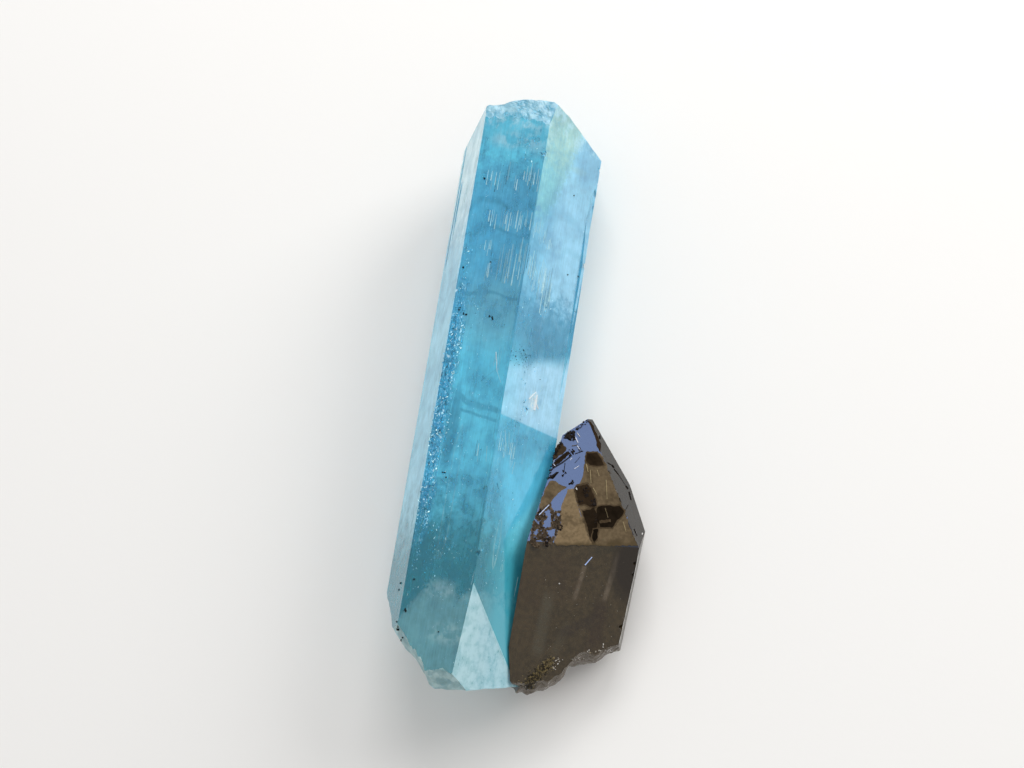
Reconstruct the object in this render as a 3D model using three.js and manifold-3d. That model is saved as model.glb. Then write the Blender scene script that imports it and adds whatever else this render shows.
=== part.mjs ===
// Aquamarine crystal with a smoky quartz crystal grown onto its side, lying on one of its prism faces.
// Millimetres, +Z up, +Y along the aquamarine towards its finished end, +X towards the quartz.
// The origin is on the prism face that the aquamarine rests on, under its long axis.
import * as THREE from 'three';
import { ConvexGeometry } from 'three/addons/geometries/ConvexGeometry.js';
import { ImprovedNoise } from 'three/addons/math/ImprovedNoise.js';
import { mergeVertices } from 'three/addons/utils/BufferGeometryUtils.js';
import Module from 'manifold-3d';

// Aquamarine prism: the widths of four of its six faces, which fix the other two
const TOP_FACE_WIDTH = 9.25;
const RIGHT_UPPER_FACE_WIDTH = 11.3;
const RIGHT_LOWER_FACE_WIDTH = 9.2;
const LEFT_UPPER_FACE_WIDTH = 9.85;
const REST_FACE_WIDTH = TOP_FACE_WIDTH + LEFT_UPPER_FACE_WIDTH - RIGHT_LOWER_FACE_WIDTH;

// Aquamarine ends along +Y, measured from the origin
const FINISHED_END = 42.1;
const BROKEN_END = -38.7;
const PRISM_REACH = 46;

// Corner bevels of the finished end: the angle from the long axis and the distance of each plane
const RIGHT_BEVEL = { around: 0, lean: 45, distance: 33 };
const LEFT_BEVEL = { around: 180, lean: 40, distance: 34.6 };
const RIGHT_UNDER_BEVEL = { around: -60, lean: 45, distance: 28.8 };
const LEFT_UNDER_BEVEL = { around: -120, lean: 45, distance: 27.4 };
const ETCHED_BAND = { around: 90, lean: 76, distance: 26.65 };

// Broken end: a slanting break on the left, an undercut, a rim that falls away from the top face, and relief
const BREAK_SLANT_START = -0.3;
const BREAK_SLANT = 1.05;
const BREAK_RISE_START = 3;
const BREAK_RISE = 0.15;
const BREAK_UNDERCUT = 0.17;
const BREAK_RIM_START = 15.4;
const BREAK_RIM_SLOPE = 0.8;
const BREAK_RELIEF = 0.8;
const END_CELL = 0.85;

// Etched finished end: terraces that step down to the left
const TERRACE_FALL_START = -0.6;
const TERRACE_FALL = 0.26;
const TERRACE_HEIGHT = 0.3;
const TERRACE_RELIEF = 0.75;

// Flat chip low on the right upper face: its two upper corners and its depth at the broken end
const CHIP_PEAK = new THREE.Vector3(3.9, -24.8, 17.75);
const CHIP_TOE = new THREE.Vector3(8.5, -34.6, 9.8);
const CHIP_HEEL = new THREE.Vector3(4.2, -38.4, 17.2);
const CHIP_DEPTH = 0.75;

// Growth ledges, etch pits and edge nicks of the aquamarine, the ledges and pits from above the chip
const TOP_LEDGES = 3;
const SIDE_LEDGES = 6;
const LEDGE_DEPTH = 0.13;
const MARKS_START = -22.5;
const RIM_LEDGE_WIDTH = 1.15;
const RIM_LEDGE_DEPTH = 0.22;
const PITS_PER_FACE = 8;
const PIT_DEPTH = 0.12;
const NICKS_PER_EDGE = 7;
const NICK_SIZE = 0.42;

// Smoky quartz: a point on its axis, and the way that axis points
const QUARTZ_CENTRE = new THREE.Vector3(14.8, -16.2, 6.1);
const QUARTZ_RISE = 8.7;
const QUARTZ_BEARING = 5;

// Smoky quartz faces: the angle round the axis from straight up, the lean to the tip, and the distance
const QUARTZ_FACES = {
  main_prism: { around: 23.6, lean: 0, distance: 4.48 },
  right_prism: { around: 94.8, lean: 0, distance: 7.98 },
  lower_right_prism: { around: 150, lean: 0, distance: 5.9 },
  under_prism: { around: 186, lean: 0, distance: 4.9 },
  main_tip: { around: 19.8, lean: 25.7, distance: 4.04 },
  right_tip: { around: 67.7, lean: 37.7, distance: 6.91 },
  lower_right_tip: { around: 130.3, lean: 28.2, distance: 9.42 },
  back_right_tip: { around: 133.9, lean: 35.8, distance: 10.01 },
  back_left_tip: { around: -108.2, lean: 28.6, distance: 11.29 },
  left_lower: { around: -78.7, lean: -2.1, distance: 7.03 },
  left_upper: { around: -79.2, lean: 5.2, distance: 6.81 },
};
const QUARTZ_CLEARANCE = 0.3;
const CONTACT_GAP = 0.3;

// Broken end of the quartz: how far down the axis it reaches, from its left side to its right side
const QUARTZ_BREAK = [
  [-9, -21.2],
  [-3.4, -21.4],
  [-1.5, -20.6],
  [0.5, -19],
  [1.3, -17],
  [2.4, -16.1],
  [4.2, -15.9],
  [5.2, -14.8],
  [8, -13.2],
];
const QUARTZ_RIM_START = 2.4;
const QUARTZ_RIM_SLOPE = 0.75;
const QUARTZ_RELIEF = 0.9;
const QUARTZ_CELL = 0.7;

// Cross ledges on the quartz prism, and nicks along its right edge and the ridge of its tip
const QUARTZ_LEDGES = 10;
const QUARTZ_LEDGE_DEPTH = 0.09;
const QUARTZ_NICK_SIZE = 0.38;
const QUARTZ_NICKS = 7;
const QUARTZ_EDGE_LENGTH = 13;
const QUARTZ_RIDGE_LENGTH = 14;

const DEGREE = Math.PI / 180;
const UP = new THREE.Vector3(0, 0, 1);
const ALONG = new THREE.Vector3(0, 1, 0);

const wasm = await Module();
wasm.setup();
const grain = new ImprovedNoise();

// A steady run of numbers between 0 and 1
function numbers(seed) {
  let state = seed;
  return () => {
    state = (state * 1664525 + 1013904223) % 4294967296;
    return state / 4294967296;
  };
}

// A closed solid from a geometry
function solidOf(geometry) {
  const bare = geometry.index ? geometry.toNonIndexed() : geometry.clone();
  bare.deleteAttribute('normal');
  bare.deleteAttribute('uv');
  const merged = mergeVertices(bare, 1e-4);
  const mesh = new wasm.Mesh({
    numProp: 3,
    vertProperties: new Float32Array(merged.attributes.position.array),
    triVerts: new Uint32Array(merged.index.array),
  });
  return new wasm.Manifold(mesh);
}

// A geometry from a closed solid
function geometryOf(solid) {
  const mesh = solid.getMesh();
  const geometry = new THREE.BufferGeometry();
  const points = new Float32Array(mesh.numVert * 3);
  for (let i = 0; i < mesh.numVert; i += 1) {
    points.set(mesh.vertProperties.subarray(i * mesh.numProp, i * mesh.numProp + 3), i * 3);
  }
  geometry.setAttribute('position', new THREE.BufferAttribute(points, 3));
  geometry.setIndex(new THREE.BufferAttribute(new Uint32Array(mesh.triVerts), 1));
  geometry.computeVertexNormals();
  return geometry;
}

// The body that lies behind every one of a set of planes
function bounded(planes) {
  const corners = [];
  for (let a = 0; a < planes.length; a += 1) {
    for (let b = a + 1; b < planes.length; b += 1) {
      for (let c = b + 1; c < planes.length; c += 1) {
        const corner = meeting(planes[a], planes[b], planes[c]);
        if (corner && planes.every((p) => p.normal.dot(corner) <= p.distance + 1e-6)) {
          corners.push(corner);
        }
      }
    }
  }
  return new ConvexGeometry(corners);
}

// The point where three planes meet, or nothing where two of them are parallel
function meeting(a, b, c) {
  const bc = new THREE.Vector3().crossVectors(b.normal, c.normal);
  const scale = a.normal.dot(bc);
  if (Math.abs(scale) < 1e-7) {
    return null;
  }
  const ca = new THREE.Vector3().crossVectors(c.normal, a.normal);
  const ab = new THREE.Vector3().crossVectors(a.normal, b.normal);
  const sum = bc.multiplyScalar(a.distance);
  sum.addScaledVector(ca, b.distance);
  sum.addScaledVector(ab, c.distance);
  return sum.divideScalar(scale);
}

// A large block that fills everything beyond a plane
function beyond(normal, point) {
  const block = new THREE.BoxGeometry(160, 160, 40);
  block.translate(0, 0, 20);
  const turn = new THREE.Quaternion().setFromUnitVectors(UP, normal);
  block.applyQuaternion(turn);
  block.translate(point.x, point.y, point.z);
  return solidOf(block);
}

// A block whose upper side is uneven, with height(x, y) giving it point by point
function unevenBlock(width, depth, thickness, cell, height) {
  const columns = Math.ceil(width / cell);
  const rows = Math.ceil(depth / cell);
  const block = new THREE.BoxGeometry(width, depth, thickness, columns, rows, 1);
  const points = block.attributes.position;
  for (let i = 0; i < points.count; i += 1) {
    if (points.getZ(i) > 0) {
      points.setZ(i, height(points.getX(i), points.getY(i)));
    }
  }
  return block;
}

// A shallow cut with sloping sides and pointed ends, sunk into a face whose frame runs across, along and out
function sunkPatch(frame, left, right, low, high, depth) {
  const middle = (left + right) / 2;
  const taper = Math.min(0.4 * (high - low), 3 * (right - left));
  const outline = [
    [left, low + taper], [middle, low], [right, low + taper],
    [right, high - taper], [middle, high], [left, high - taper],
  ];
  const lift = 0.5;
  const inset = Math.min(depth * 1.5, 0.3 * (right - left));
  const corners = [];
  for (const [x, y] of outline) {
    const inX = inset * Math.sign(middle - x);
    const inY = inset * Math.sign((low + high) / 2 - y);
    const flare = lift / depth;
    corners.push(new THREE.Vector3(x + inX, y + inY, -depth).applyMatrix4(frame));
    corners.push(new THREE.Vector3(x - inX * flare, y - inY * flare, lift).applyMatrix4(frame));
  }
  return solidOf(new ConvexGeometry(corners));
}

// A small faceted nick with its middle at a point, turned at random
function nick(point, size, random) {
  const lump = new THREE.IcosahedronGeometry(size, 0);
  lump.scale(0.6 + random(), 0.8 + 1.6 * random(), 0.6 + random());
  const turn = new THREE.Euler(random() * 6, random() * 6, random() * 6);
  lump.applyQuaternion(new THREE.Quaternion().setFromEuler(turn));
  lump.translate(point.x, point.y, point.z);
  return solidOf(lump);
}

// One solid less each of a list of others
function less(solid, cuts) {
  return cuts.reduce((left, cut) => left.subtract(cut), solid);
}

// The six corners of the aquamarine's cross-section, from the right end of the rest face anticlockwise
function prismCorners() {
  const leftLower = RIGHT_LOWER_FACE_WIDTH + RIGHT_UPPER_FACE_WIDTH - LEFT_UPPER_FACE_WIDTH;
  const rightSide = [RIGHT_LOWER_FACE_WIDTH, RIGHT_UPPER_FACE_WIDTH];
  const widths = [...rightSide, TOP_FACE_WIDTH, LEFT_UPPER_FACE_WIDTH, leftLower];
  const corners = [new THREE.Vector3(REST_FACE_WIDTH / 2, 0, 0)];
  widths.forEach((width, i) => {
    const heading = (60 + 60 * i) * DEGREE;
    const step = new THREE.Vector3(Math.cos(heading), 0, Math.sin(heading));
    corners.push(corners[i].clone().addScaledVector(step, width));
  });
  return corners;
}

// The six prism faces, each with its outward direction, distance, width and a frame on its surface
function prismFaces(grown) {
  const corners = prismCorners();
  return corners.map((start, i) => {
    const end = corners[(i + 1) % 6];
    const heading = (60 * i - 30) * DEGREE;
    const normal = new THREE.Vector3(Math.cos(heading), 0, Math.sin(heading));
    const across = new THREE.Vector3().crossVectors(ALONG, normal);
    const frame = new THREE.Matrix4().makeBasis(across, ALONG, normal).setPosition(end);
    return { normal, distance: normal.dot(start) + grown, width: start.distanceTo(end), frame };
  });
}

// A plane at an angle round the long axis, leaning by an angle from that axis
function endPlane({ around, lean, distance }) {
  const round = around * DEGREE;
  const tilt = lean * DEGREE;
  const side = new THREE.Vector3(Math.cos(round), 0, Math.sin(round)).multiplyScalar(Math.sin(tilt));
  return { normal: side.addScaledVector(ALONG, Math.cos(tilt)), distance };
}

// Long position of the broken end at a place in the cross-section
function brokenEndAt(x, z) {
  const slant = BREAK_SLANT * Math.max(0, BREAK_SLANT_START - x);
  const rise = BREAK_RISE * Math.max(0, x - BREAK_RISE_START);
  const under = BREAK_UNDERCUT * Math.max(0, BREAK_RIM_START - z);
  const rim = BREAK_RIM_SLOPE * Math.max(0, z - BREAK_RIM_START);
  const relief = grain.noise(x * 0.23 + 3, z * 0.27, 1.7) + 0.45 * grain.noise(x * 0.8, z * 0.7 + 5, 4.2);
  return BROKEN_END + slant + rise + under + rim + BREAK_RELIEF * relief;
}

// Long position of the etched end at a place in the cross-section
function etchedEndAt(x, z) {
  const fall = TERRACE_FALL * Math.max(0, TERRACE_FALL_START - x);
  const hills = TERRACE_RELIEF * grain.noise(x * 0.34, z * 0.38 + 2, 6.1);
  const steps = TERRACE_HEIGHT * Math.round(hills / TERRACE_HEIGHT);
  return FINISHED_END - fall + steps + 0.16 * grain.noise(x * 1.1, z * 1.1, 8.3);
}

// Long strips of face that stand slightly below the rest, as growth left them
function growthLedges(face, random) {
  const cuts = [];
  const count = face.normal.z > 0.9 ? TOP_LEDGES : SIDE_LEDGES;
  for (let i = 0; i < count; i += 1) {
    const width = 0.3 + 0.9 * random();
    const left = 0.6 + random() * (face.width - width - 1.2);
    const low = Math.max(MARKS_START, -36 + 60 * random());
    const length = 7 + 22 * random() * random();
    const depth = LEDGE_DEPTH * (0.45 + 0.75 * random());
    cuts.push(sunkPatch(face.frame, left, left + width, low, Math.min(low + length, 37), depth));
  }
  return cuts;
}

// Small oblong etch pits in a face
function etchPits(face, random) {
  const cuts = [];
  for (let i = 0; i < PITS_PER_FACE; i += 1) {
    const width = 0.32 + 0.35 * random();
    const length = width * (1.2 + 1.2 * random());
    const left = 0.5 + random() * (face.width - width - 1);
    const low = Math.max(MARKS_START, -35 + 72 * random());
    const depth = PIT_DEPTH * (0.5 + 0.6 * random());
    cuts.push(sunkPatch(face.frame, left, left + width, low, low + length, depth));
  }
  return cuts;
}

// Nicks where an edge of the prism has been knocked
function edgeNicks(corner, random) {
  const cuts = [];
  for (let i = 0; i < NICKS_PER_EDGE; i += 1) {
    const place = new THREE.Vector3(corner.x, -36 + 74 * random(), corner.z);
    cuts.push(nick(place, NICK_SIZE * (0.35 + 0.9 * random() * random()), random));
  }
  return cuts;
}

// The aquamarine: a six-sided prism with bevelled corners at one end and a break at the other
function aquamarineSolid() {
  const faces = prismFaces(0);
  const ends = [RIGHT_BEVEL, LEFT_BEVEL, RIGHT_UNDER_BEVEL, LEFT_UNDER_BEVEL, ETCHED_BAND].map(endPlane);
  ends.push({ normal: ALONG.clone(), distance: PRISM_REACH });
  ends.push({ normal: ALONG.clone().negate(), distance: PRISM_REACH });
  const prism = solidOf(bounded([...faces, ...ends]));

  const reverse = new THREE.Matrix4().makeBasis(
    new THREE.Vector3(-1, 0, 0), new THREE.Vector3(0, 0, 1), new THREE.Vector3(0, 1, 0),
  );
  const brokenEnd = unevenBlock(26, 24, 120, END_CELL, (x, y) => brokenEndAt(-x, y + 9));
  brokenEnd.translate(0, 9, 0);
  brokenEnd.applyMatrix4(reverse);
  const forward = new THREE.Matrix4().makeBasis(
    new THREE.Vector3(1, 0, 0), new THREE.Vector3(0, 0, 1), new THREE.Vector3(0, -1, 0),
  );
  const etchedEnd = unevenBlock(26, 24, 120, END_CELL, (x, y) => -etchedEndAt(x, y + 9));
  etchedEnd.translate(0, 9, 0);
  etchedEnd.applyMatrix4(forward);

  const heel = CHIP_HEEL.clone().addScaledVector(faces[1].normal, -CHIP_DEPTH);
  const chip = new THREE.Vector3().crossVectors(CHIP_TOE.clone().sub(CHIP_PEAK), heel.clone().sub(CHIP_PEAK));
  chip.normalize();
  if (chip.dot(faces[1].normal) < 0) {
    chip.negate();
  }

  const random = numbers(20817);
  const cuts = [solidOf(brokenEnd), solidOf(etchedEnd), beyond(chip, CHIP_PEAK)];
  const shown = faces.filter((face) => face.normal.z > -0.9);
  for (const face of shown) {
    cuts.push(...growthLedges(face, random));
    cuts.push(...etchPits(face, random));
  }
  const rightUpper = faces[1];
  const rim = [rightUpper.width - RIM_LEDGE_WIDTH, rightUpper.width + 0.5];
  cuts.push(sunkPatch(rightUpper.frame, rim[0], rim[1], -3, 33, RIM_LEDGE_DEPTH));
  prismCorners().forEach((corner) => cuts.push(...edgeNicks(corner, random)));
  return less(prism, cuts);
}

// The quartz's own directions: across to the right, along its axis, and up
function quartzFrame() {
  const rise = QUARTZ_RISE * DEGREE;
  const bearing = QUARTZ_BEARING * DEGREE;
  const level = Math.cos(rise);
  const along = new THREE.Vector3(level * Math.sin(bearing), level * Math.cos(bearing), Math.sin(rise));
  const up = UP.clone().addScaledVector(along, -along.z).normalize();
  const across = new THREE.Vector3().crossVectors(along, up);
  return { across, along, up };
}

// A quartz face as a plane in the part's frame
function quartzPlane({ around, lean, distance }, frame) {
  const round = around * DEGREE;
  const tilt = lean * DEGREE;
  const normal = frame.up.clone().multiplyScalar(Math.cos(round) * Math.cos(tilt));
  normal.addScaledVector(frame.across, Math.sin(round) * Math.cos(tilt));
  normal.addScaledVector(frame.along, Math.sin(tilt));
  return { normal, distance: distance + normal.dot(QUARTZ_CENTRE) };
}

// How far down its axis the quartz is broken, at a place across its main face and out from its axis
function quartzBreakAt(across, out) {
  const last = QUARTZ_BREAK.findIndex(([place]) => place > across);
  const after = last < 1 ? QUARTZ_BREAK.length - 1 : last;
  const [fromPlace, fromReach] = QUARTZ_BREAK[after - 1];
  const [toPlace, toReach] = QUARTZ_BREAK[after];
  const share = THREE.MathUtils.clamp((across - fromPlace) / (toPlace - fromPlace), 0, 1);
  const reach = THREE.MathUtils.lerp(fromReach, toReach, share);
  const rim = QUARTZ_RIM_SLOPE * Math.max(0, out - QUARTZ_RIM_START);
  const scallop = Math.abs(grain.noise(across * 0.42, out * 0.5, 2.6));
  const ripple = 0.5 * grain.noise(across, out * 1.1, 7.4);
  return reach + rim + QUARTZ_RELIEF * (scallop + ripple);
}

// The smoky quartz: a prism with a six-faced tip, broken at its foot and shaped on one side by the aquamarine
function quartzSolid() {
  const frame = quartzFrame();
  const planes = Object.values(QUARTZ_FACES).map((face) => quartzPlane(face, frame));
  const foot = frame.along.clone().negate();
  planes.push({ normal: foot, distance: 26 + foot.dot(QUARTZ_CENTRE) });
  planes.push({ normal: UP.clone().negate(), distance: -QUARTZ_CLEARANCE });
  const body = solidOf(bounded(planes));

  const main = QUARTZ_FACES.main_prism;
  const out = quartzPlane({ ...main, distance: 0 }, frame).normal;
  const across = new THREE.Vector3().crossVectors(frame.along, out);
  const breakFrame = new THREE.Matrix4().makeBasis(out, across, frame.along).setPosition(QUARTZ_CENTRE);
  const broken = unevenBlock(26, 26, 80, QUARTZ_CELL, (x, y) => quartzBreakAt(y, x));
  broken.applyMatrix4(breakFrame);

  const crossFrame = new THREE.Matrix4().makeBasis(foot, across, out);
  crossFrame.setPosition(QUARTZ_CENTRE.clone().addScaledVector(out, main.distance));
  const random = numbers(4410);
  const cuts = [solidOf(broken)];
  for (let i = 0; i < QUARTZ_LEDGES; i += 1) {
    const low = 2.5 + 11 * random();
    const left = -6.5 + 6 * random();
    const length = 4 + 7 * random();
    const depth = QUARTZ_LEDGE_DEPTH * (0.5 + 0.7 * random());
    const high = low + 0.25 + 0.5 * random();
    cuts.push(sunkPatch(crossFrame, low, high, left, Math.min(left + length, 6.6), depth));
  }
  const rightFace = quartzPlane(QUARTZ_FACES.right_prism, frame);
  const mainFace = quartzPlane(main, frame);
  const rightTip = quartzPlane(QUARTZ_FACES.right_tip, frame);
  const mainTip = quartzPlane(QUARTZ_FACES.main_tip, frame);
  const shoulder = meeting(rightFace, mainFace, mainTip);
  const ridge = new THREE.Vector3().crossVectors(mainTip.normal, rightTip.normal).normalize();
  ridge.multiplyScalar(Math.sign(ridge.dot(frame.along)));
  for (let i = 0; i < QUARTZ_NICKS; i += 1) {
    const low = shoulder.clone().addScaledVector(frame.along, -QUARTZ_EDGE_LENGTH * random());
    cuts.push(nick(low, QUARTZ_NICK_SIZE * (0.3 + 0.8 * random()), random));
    const high = shoulder.clone().addScaledVector(ridge, QUARTZ_RIDGE_LENGTH * random());
    cuts.push(nick(high, QUARTZ_NICK_SIZE * (0.25 + 0.6 * random()), random));
  }

  const grown = prismFaces(CONTACT_GAP);
  grown.push({ normal: ALONG.clone(), distance: PRISM_REACH });
  grown.push({ normal: ALONG.clone().negate(), distance: PRISM_REACH });
  cuts.push(solidOf(bounded(grown)));
  return less(body, cuts);
}

// The largest of the pieces that a cut leaves
function largest(solid) {
  const pieces = solid.decompose();
  return pieces.reduce((best, piece) => (piece.volume() > best.volume() ? piece : best));
}

const aquamarineLook = new THREE.MeshStandardMaterial({ color: 0x5fb2d3, roughness: 0.08, metalness: 0 });
const quartzLook = new THREE.MeshStandardMaterial({ color: 0x5a4a3a, roughness: 0.1, metalness: 0 });

const aquamarine = new THREE.Mesh(geometryOf(largest(aquamarineSolid())), aquamarineLook);
aquamarine.name = 'aquamarine';

const quartz = new THREE.Mesh(geometryOf(largest(quartzSolid())), quartzLook);
quartz.name = 'smoky_quartz';

const specimen = new THREE.Group();
specimen.name = 'aquamarine_with_smoky_quartz';
specimen.add(aquamarine, quartz);

export default specimen;
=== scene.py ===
"""Aquamarine crystal grown together with a smoky quartz, lying on its side on a pale floor."""

import math
import random

import bmesh
import bpy
from mathutils import Matrix, Vector, noise
from mathutils.bvhtree import BVHTree


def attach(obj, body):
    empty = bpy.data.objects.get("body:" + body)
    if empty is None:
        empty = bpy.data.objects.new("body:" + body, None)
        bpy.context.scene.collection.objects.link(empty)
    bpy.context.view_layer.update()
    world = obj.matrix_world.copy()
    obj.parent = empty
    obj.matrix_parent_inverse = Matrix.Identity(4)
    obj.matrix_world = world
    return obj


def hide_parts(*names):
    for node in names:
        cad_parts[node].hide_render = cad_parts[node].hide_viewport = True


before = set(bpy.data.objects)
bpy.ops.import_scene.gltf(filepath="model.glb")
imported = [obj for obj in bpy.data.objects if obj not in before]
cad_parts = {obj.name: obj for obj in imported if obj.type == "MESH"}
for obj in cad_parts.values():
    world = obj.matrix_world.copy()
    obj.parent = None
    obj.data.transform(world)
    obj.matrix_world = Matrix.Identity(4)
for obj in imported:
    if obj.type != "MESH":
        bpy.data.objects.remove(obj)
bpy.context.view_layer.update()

bl_info = {
    "name": "Aquamarine With Smoky Quartz",
    "version": (1, 0, 0),
    "blender": (4, 5, 0),
    "location": "View3D > Sidebar > Crystal",
    "description": "Dresses the two grown-together crystals, their inclusions and the studio around them",
    "category": "Object",
}

# Places and sizes are in millimetres, and a size multiplied by MM is in metres
MM = 0.001
BODY = "root"

# Faces of the aquamarine
PRISM_ANGLES = (90, 30, -30, -90, 210, 150)
PRISM_NORMALS = [
    Vector((math.cos(math.radians(angle)), 0.0, math.sin(math.radians(angle)))) for angle in PRISM_ANGLES
]
FLAT_MATCH = 0.9997
TOP_FACE_HEIGHT = 17.7535
MERGE_REACH = 0.002 * MM
LEDGE_REACH = 0.3 * MM
ROUGH_EDGE = 0.42 * MM
LUMPS = ((0.55, 1.0, Vector()), (1.4, 0.55, Vector((7, 0, 0))), (3.2, 0.3, Vector()))
FACE_MATCH = 0.98
UNDERSIDE = -0.3
CHIP_TOP = -24.0
BREAK_TOP = -27.0
ETCH_START = 30.0
UNDER_ROUGHNESS = 0.38
FACE_ROUGHNESS = 0.025
GROOVE_END = -33.0
RIGHT_FACE_POINT = Vector((3.9, 0.0, TOP_FACE_HEIGHT))
RIGHT_FACE_DOWN = Vector((0.5, 0.0, -math.cos(math.radians(30))))
RIGHT_FACE_NORMAL = Vector((math.cos(math.radians(30)), 0.0, math.sin(math.radians(30))))
LEFT_FACE_NORMAL = Vector((-math.cos(math.radians(30)), 0.0, math.sin(math.radians(30))))

# Finished end: where its swells start and are full, and each swell's middle, width and rise
END_START = 35.5
END_FULL = 38.5
END_SWELLS = ((-1.0, 2.4, 0.30), (4.2, 1.4, -0.48))

# Faces of the quartz
QUARTZ_ALONG = Vector((0.0862, 0.9847, 0.1513))
QUARTZ_SIDE = Vector((0.9962, -0.0872, 0.0))
QUARTZ_FACE_NORMAL = Vector((0.3870, -0.1730, 0.9057)).normalized()
QUARTZ_FACE_LEVEL = 18.535
QUARTZ_LEDGE_DEPTH = 0.12
QUARTZ_BREAK_TOP = -28.0
BREAK_FACING = -0.25
CONTACT_FACING = -0.5
STEEP_FACE = 0.12
TIP_MATCH = 0.997
OUTER_TIP_MATCH = 0.97
TIP_NORMAL = Vector((0.330, 0.273, 0.904))
TIP_POINT = Vector((13.0, 0.66, 6.12))
OUTER_TIP_NORMAL = Vector((0.778, 0.493, 0.389))

# Camera and its picture
CAMERA_PLACE = Vector((67.1205, -43.5092, 250.9875))
CAMERA_RIGHT = Vector((0.96076, 0.16079, -0.22603))
CAMERA_UP = Vector((-0.11072, 0.96942, 0.21899))
CAMERA_BACK = Vector((0.25433, -0.18538, 0.94918))
CAMERA_LENS = 65.0
SENSOR_WIDTH = 36.0
CAMERA_CLIP = (10.0 * MM, 20000.0 * MM)
PICTURE_WIDTH = 1024
PICTURE_HEIGHT = 768

# Shoulder of the quartz tip, between two places in the picture, where the painted golden reflection is
# painted darker
TIP_SIDE = Vector((0.9404, -0.1789, -0.2893))
SHOULDER_LEFT = (535, 547)
SHOULDER_RIGHT = (637, 546)
SHOULDER_REACH = 1.0
SHOULDER_TINT = (0.060, 0.044, 0.024)

# Growth tubes: first place across the face, count, lowest and highest place along the prism
TOP_TUBE_CLUSTERS = (
    (-3.6, 3, 28.6, 32.2),
    (-2.4, 4, 28.2, 31.6),
    (-0.9, 3, 29.0, 32.8),
    (0.4, 3, 28.4, 31.0),
    (1.5, 4, 29.2, 33.0),
    (2.6, 4, 28.8, 32.6),
    (-2.4, 4, 22.9, 26.2),
    (-0.7, 4, 22.8, 26.3),
    (0.6, 3, 23.0, 26.0),
    (1.5, 5, 22.7, 26.3),
    (2.9, 3, 23.2, 26.1),
    (-2.3, 5, 19.0, 22.1),
    (-1.6, 3, 15.6, 18.6),
    (0.0, 4, 15.4, 22.0),
    (0.9, 3, 16.2, 21.4),
    (1.7, 5, 15.2, 22.3),
    (2.8, 4, 16.8, 22.4),
    (1.7, 3, 3.2, 7.6),
    (1.2, 3, -9.0, -6.0),
)
RIGHT_TUBE_CLUSTERS = (
    (0.4, 4, 22.2, 26.0),
    (1.8, 4, 21.8, 25.2),
    (3.2, 3, 21.0, 24.0),
    (0.5, 4, 15.6, 21.2),
    (1.6, 5, 14.8, 20.6),
    (2.8, 5, 14.2, 20.0),
    (3.9, 5, 12.2, 19.6),
    (4.8, 3, 13.0, 18.0),
    (0.5, 5, -8.4, -3.4),
    (2.6, 3, -8.0, -5.0),
)
TUBE_SEED = 11
# Tones of the tubes; the low tones are painted shade lines beside the bright tubes
TOP_TUBE_SHADES = (0.1, 0.4, 0.7, 1.0, 1.0)
RIGHT_TUBE_SHADES = (0.45, 0.7, 0.9, 1.0)
TUBE_DEPTHS = (0.0, 0.01, 0.02)
TUBE_SPACING = (0.14, 0.40)
TUBE_THIN = 0.04
TUBE_SPREAD = 0.05
TUBE_LEAN = 0.01

# Flakes: lowest and highest place along, nearest and farthest across, count, smallest and largest reach
FLAKES_PER_CLUSTER = 6
FLAKE_SEED = 23
FLAKE_SHADES = (0.0, 0.3, 0.8, 1.0, 1.0, 1.3, 1.6, 2.0, 2.0)
FLAKE_THICK = 0.02
FLAKE_DEPTHS = (0.0, 0.02, 0.04, 0.6)
TOP_FLAKE_BANDS = (
    (27.0, 36.0, -4.6, 3.6, 200, 0.02, 0.09),
    (33.0, 38.5, 0.6, 3.7, 80, 0.06, 0.22),
    (10.0, 20.0, -5.25, -4.0, 200, 0.06, 0.26),
    (-8.0, 10.0, -5.25, -3.2, 1100, 0.07, 0.34),
    (-18.0, -8.0, -5.25, -3.7, 560, 0.06, 0.30),
    (-24.0, -18.0, -5.25, -4.1, 110, 0.05, 0.16),
    (-26.0, 14.0, -3.4, 3.7, 700, 0.02, 0.09),
    (-21.5, -18.5, -3.5, 3.4, 90, 0.06, 0.20),
    (-30.0, -6.0, -3.2, 3.6, 120, 0.05, 0.16),
)
RIGHT_FLAKE_BANDS = (
    (11.0, 18.0, 0.6, 6.0, 90, 0.05, 0.18),
    (2.0, 8.0, 2.0, 6.0, 50, 0.05, 0.18),
    (-24.0, -4.0, 0.4, 7.0, 420, 0.02, 0.10),
    (-24.0, -6.0, 0.4, 6.6, 120, 0.05, 0.16),
    (-1.6, 0.6, 3.6, 5.0, 40, 0.08, 0.36),
)

# Specks: place across the face, place along the prism, reach
TOP_SPECKS = (
    (-4.88, 17.48, 0.22),
    (-4.43, 11.6, 0.26),
    (-3.47, 11.0, 0.26),
    (0.24, 10.69, 0.30),
    (-4.45, 8.51, 0.2),
    (-2.54, -11.22, 0.34),
    (3.29, -12.1, 0.22),
    (-4.68, -29.56, 0.2),
    (-4.38, -33.47, 0.2),
    (-1.2, 18.4, 0.16),
)
RIGHT_SPECKS = (
    (8.1, 19.4, 0.18),
    (10.3, 20.0, 0.2),
    (10.8, 15.0, 0.2),
    (2.0, 7.2, 0.25),
    (6.1, 4.2, 0.14),
)
SPECK_SEED = 37
SPECK_GROWTH = 1.25
SPECK_JITTER = 0.9
RIGHT_FINE_SPECKS = 60
FINE_SPECKS_DOWN = (2.2, 1.2)
FINE_SPECKS_ALONG = (6.0, 0.8)
RIGHT_FINE_SIZES = (0.03, 0.08)
TOP_FINE_SPECKS = 90
TOP_FINE_ACROSS = (-4.8, 3.6)
TOP_FINE_ALONG = (-24.0, 33.0)
TOP_FINE_SIZES = (0.03, 0.07)
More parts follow.
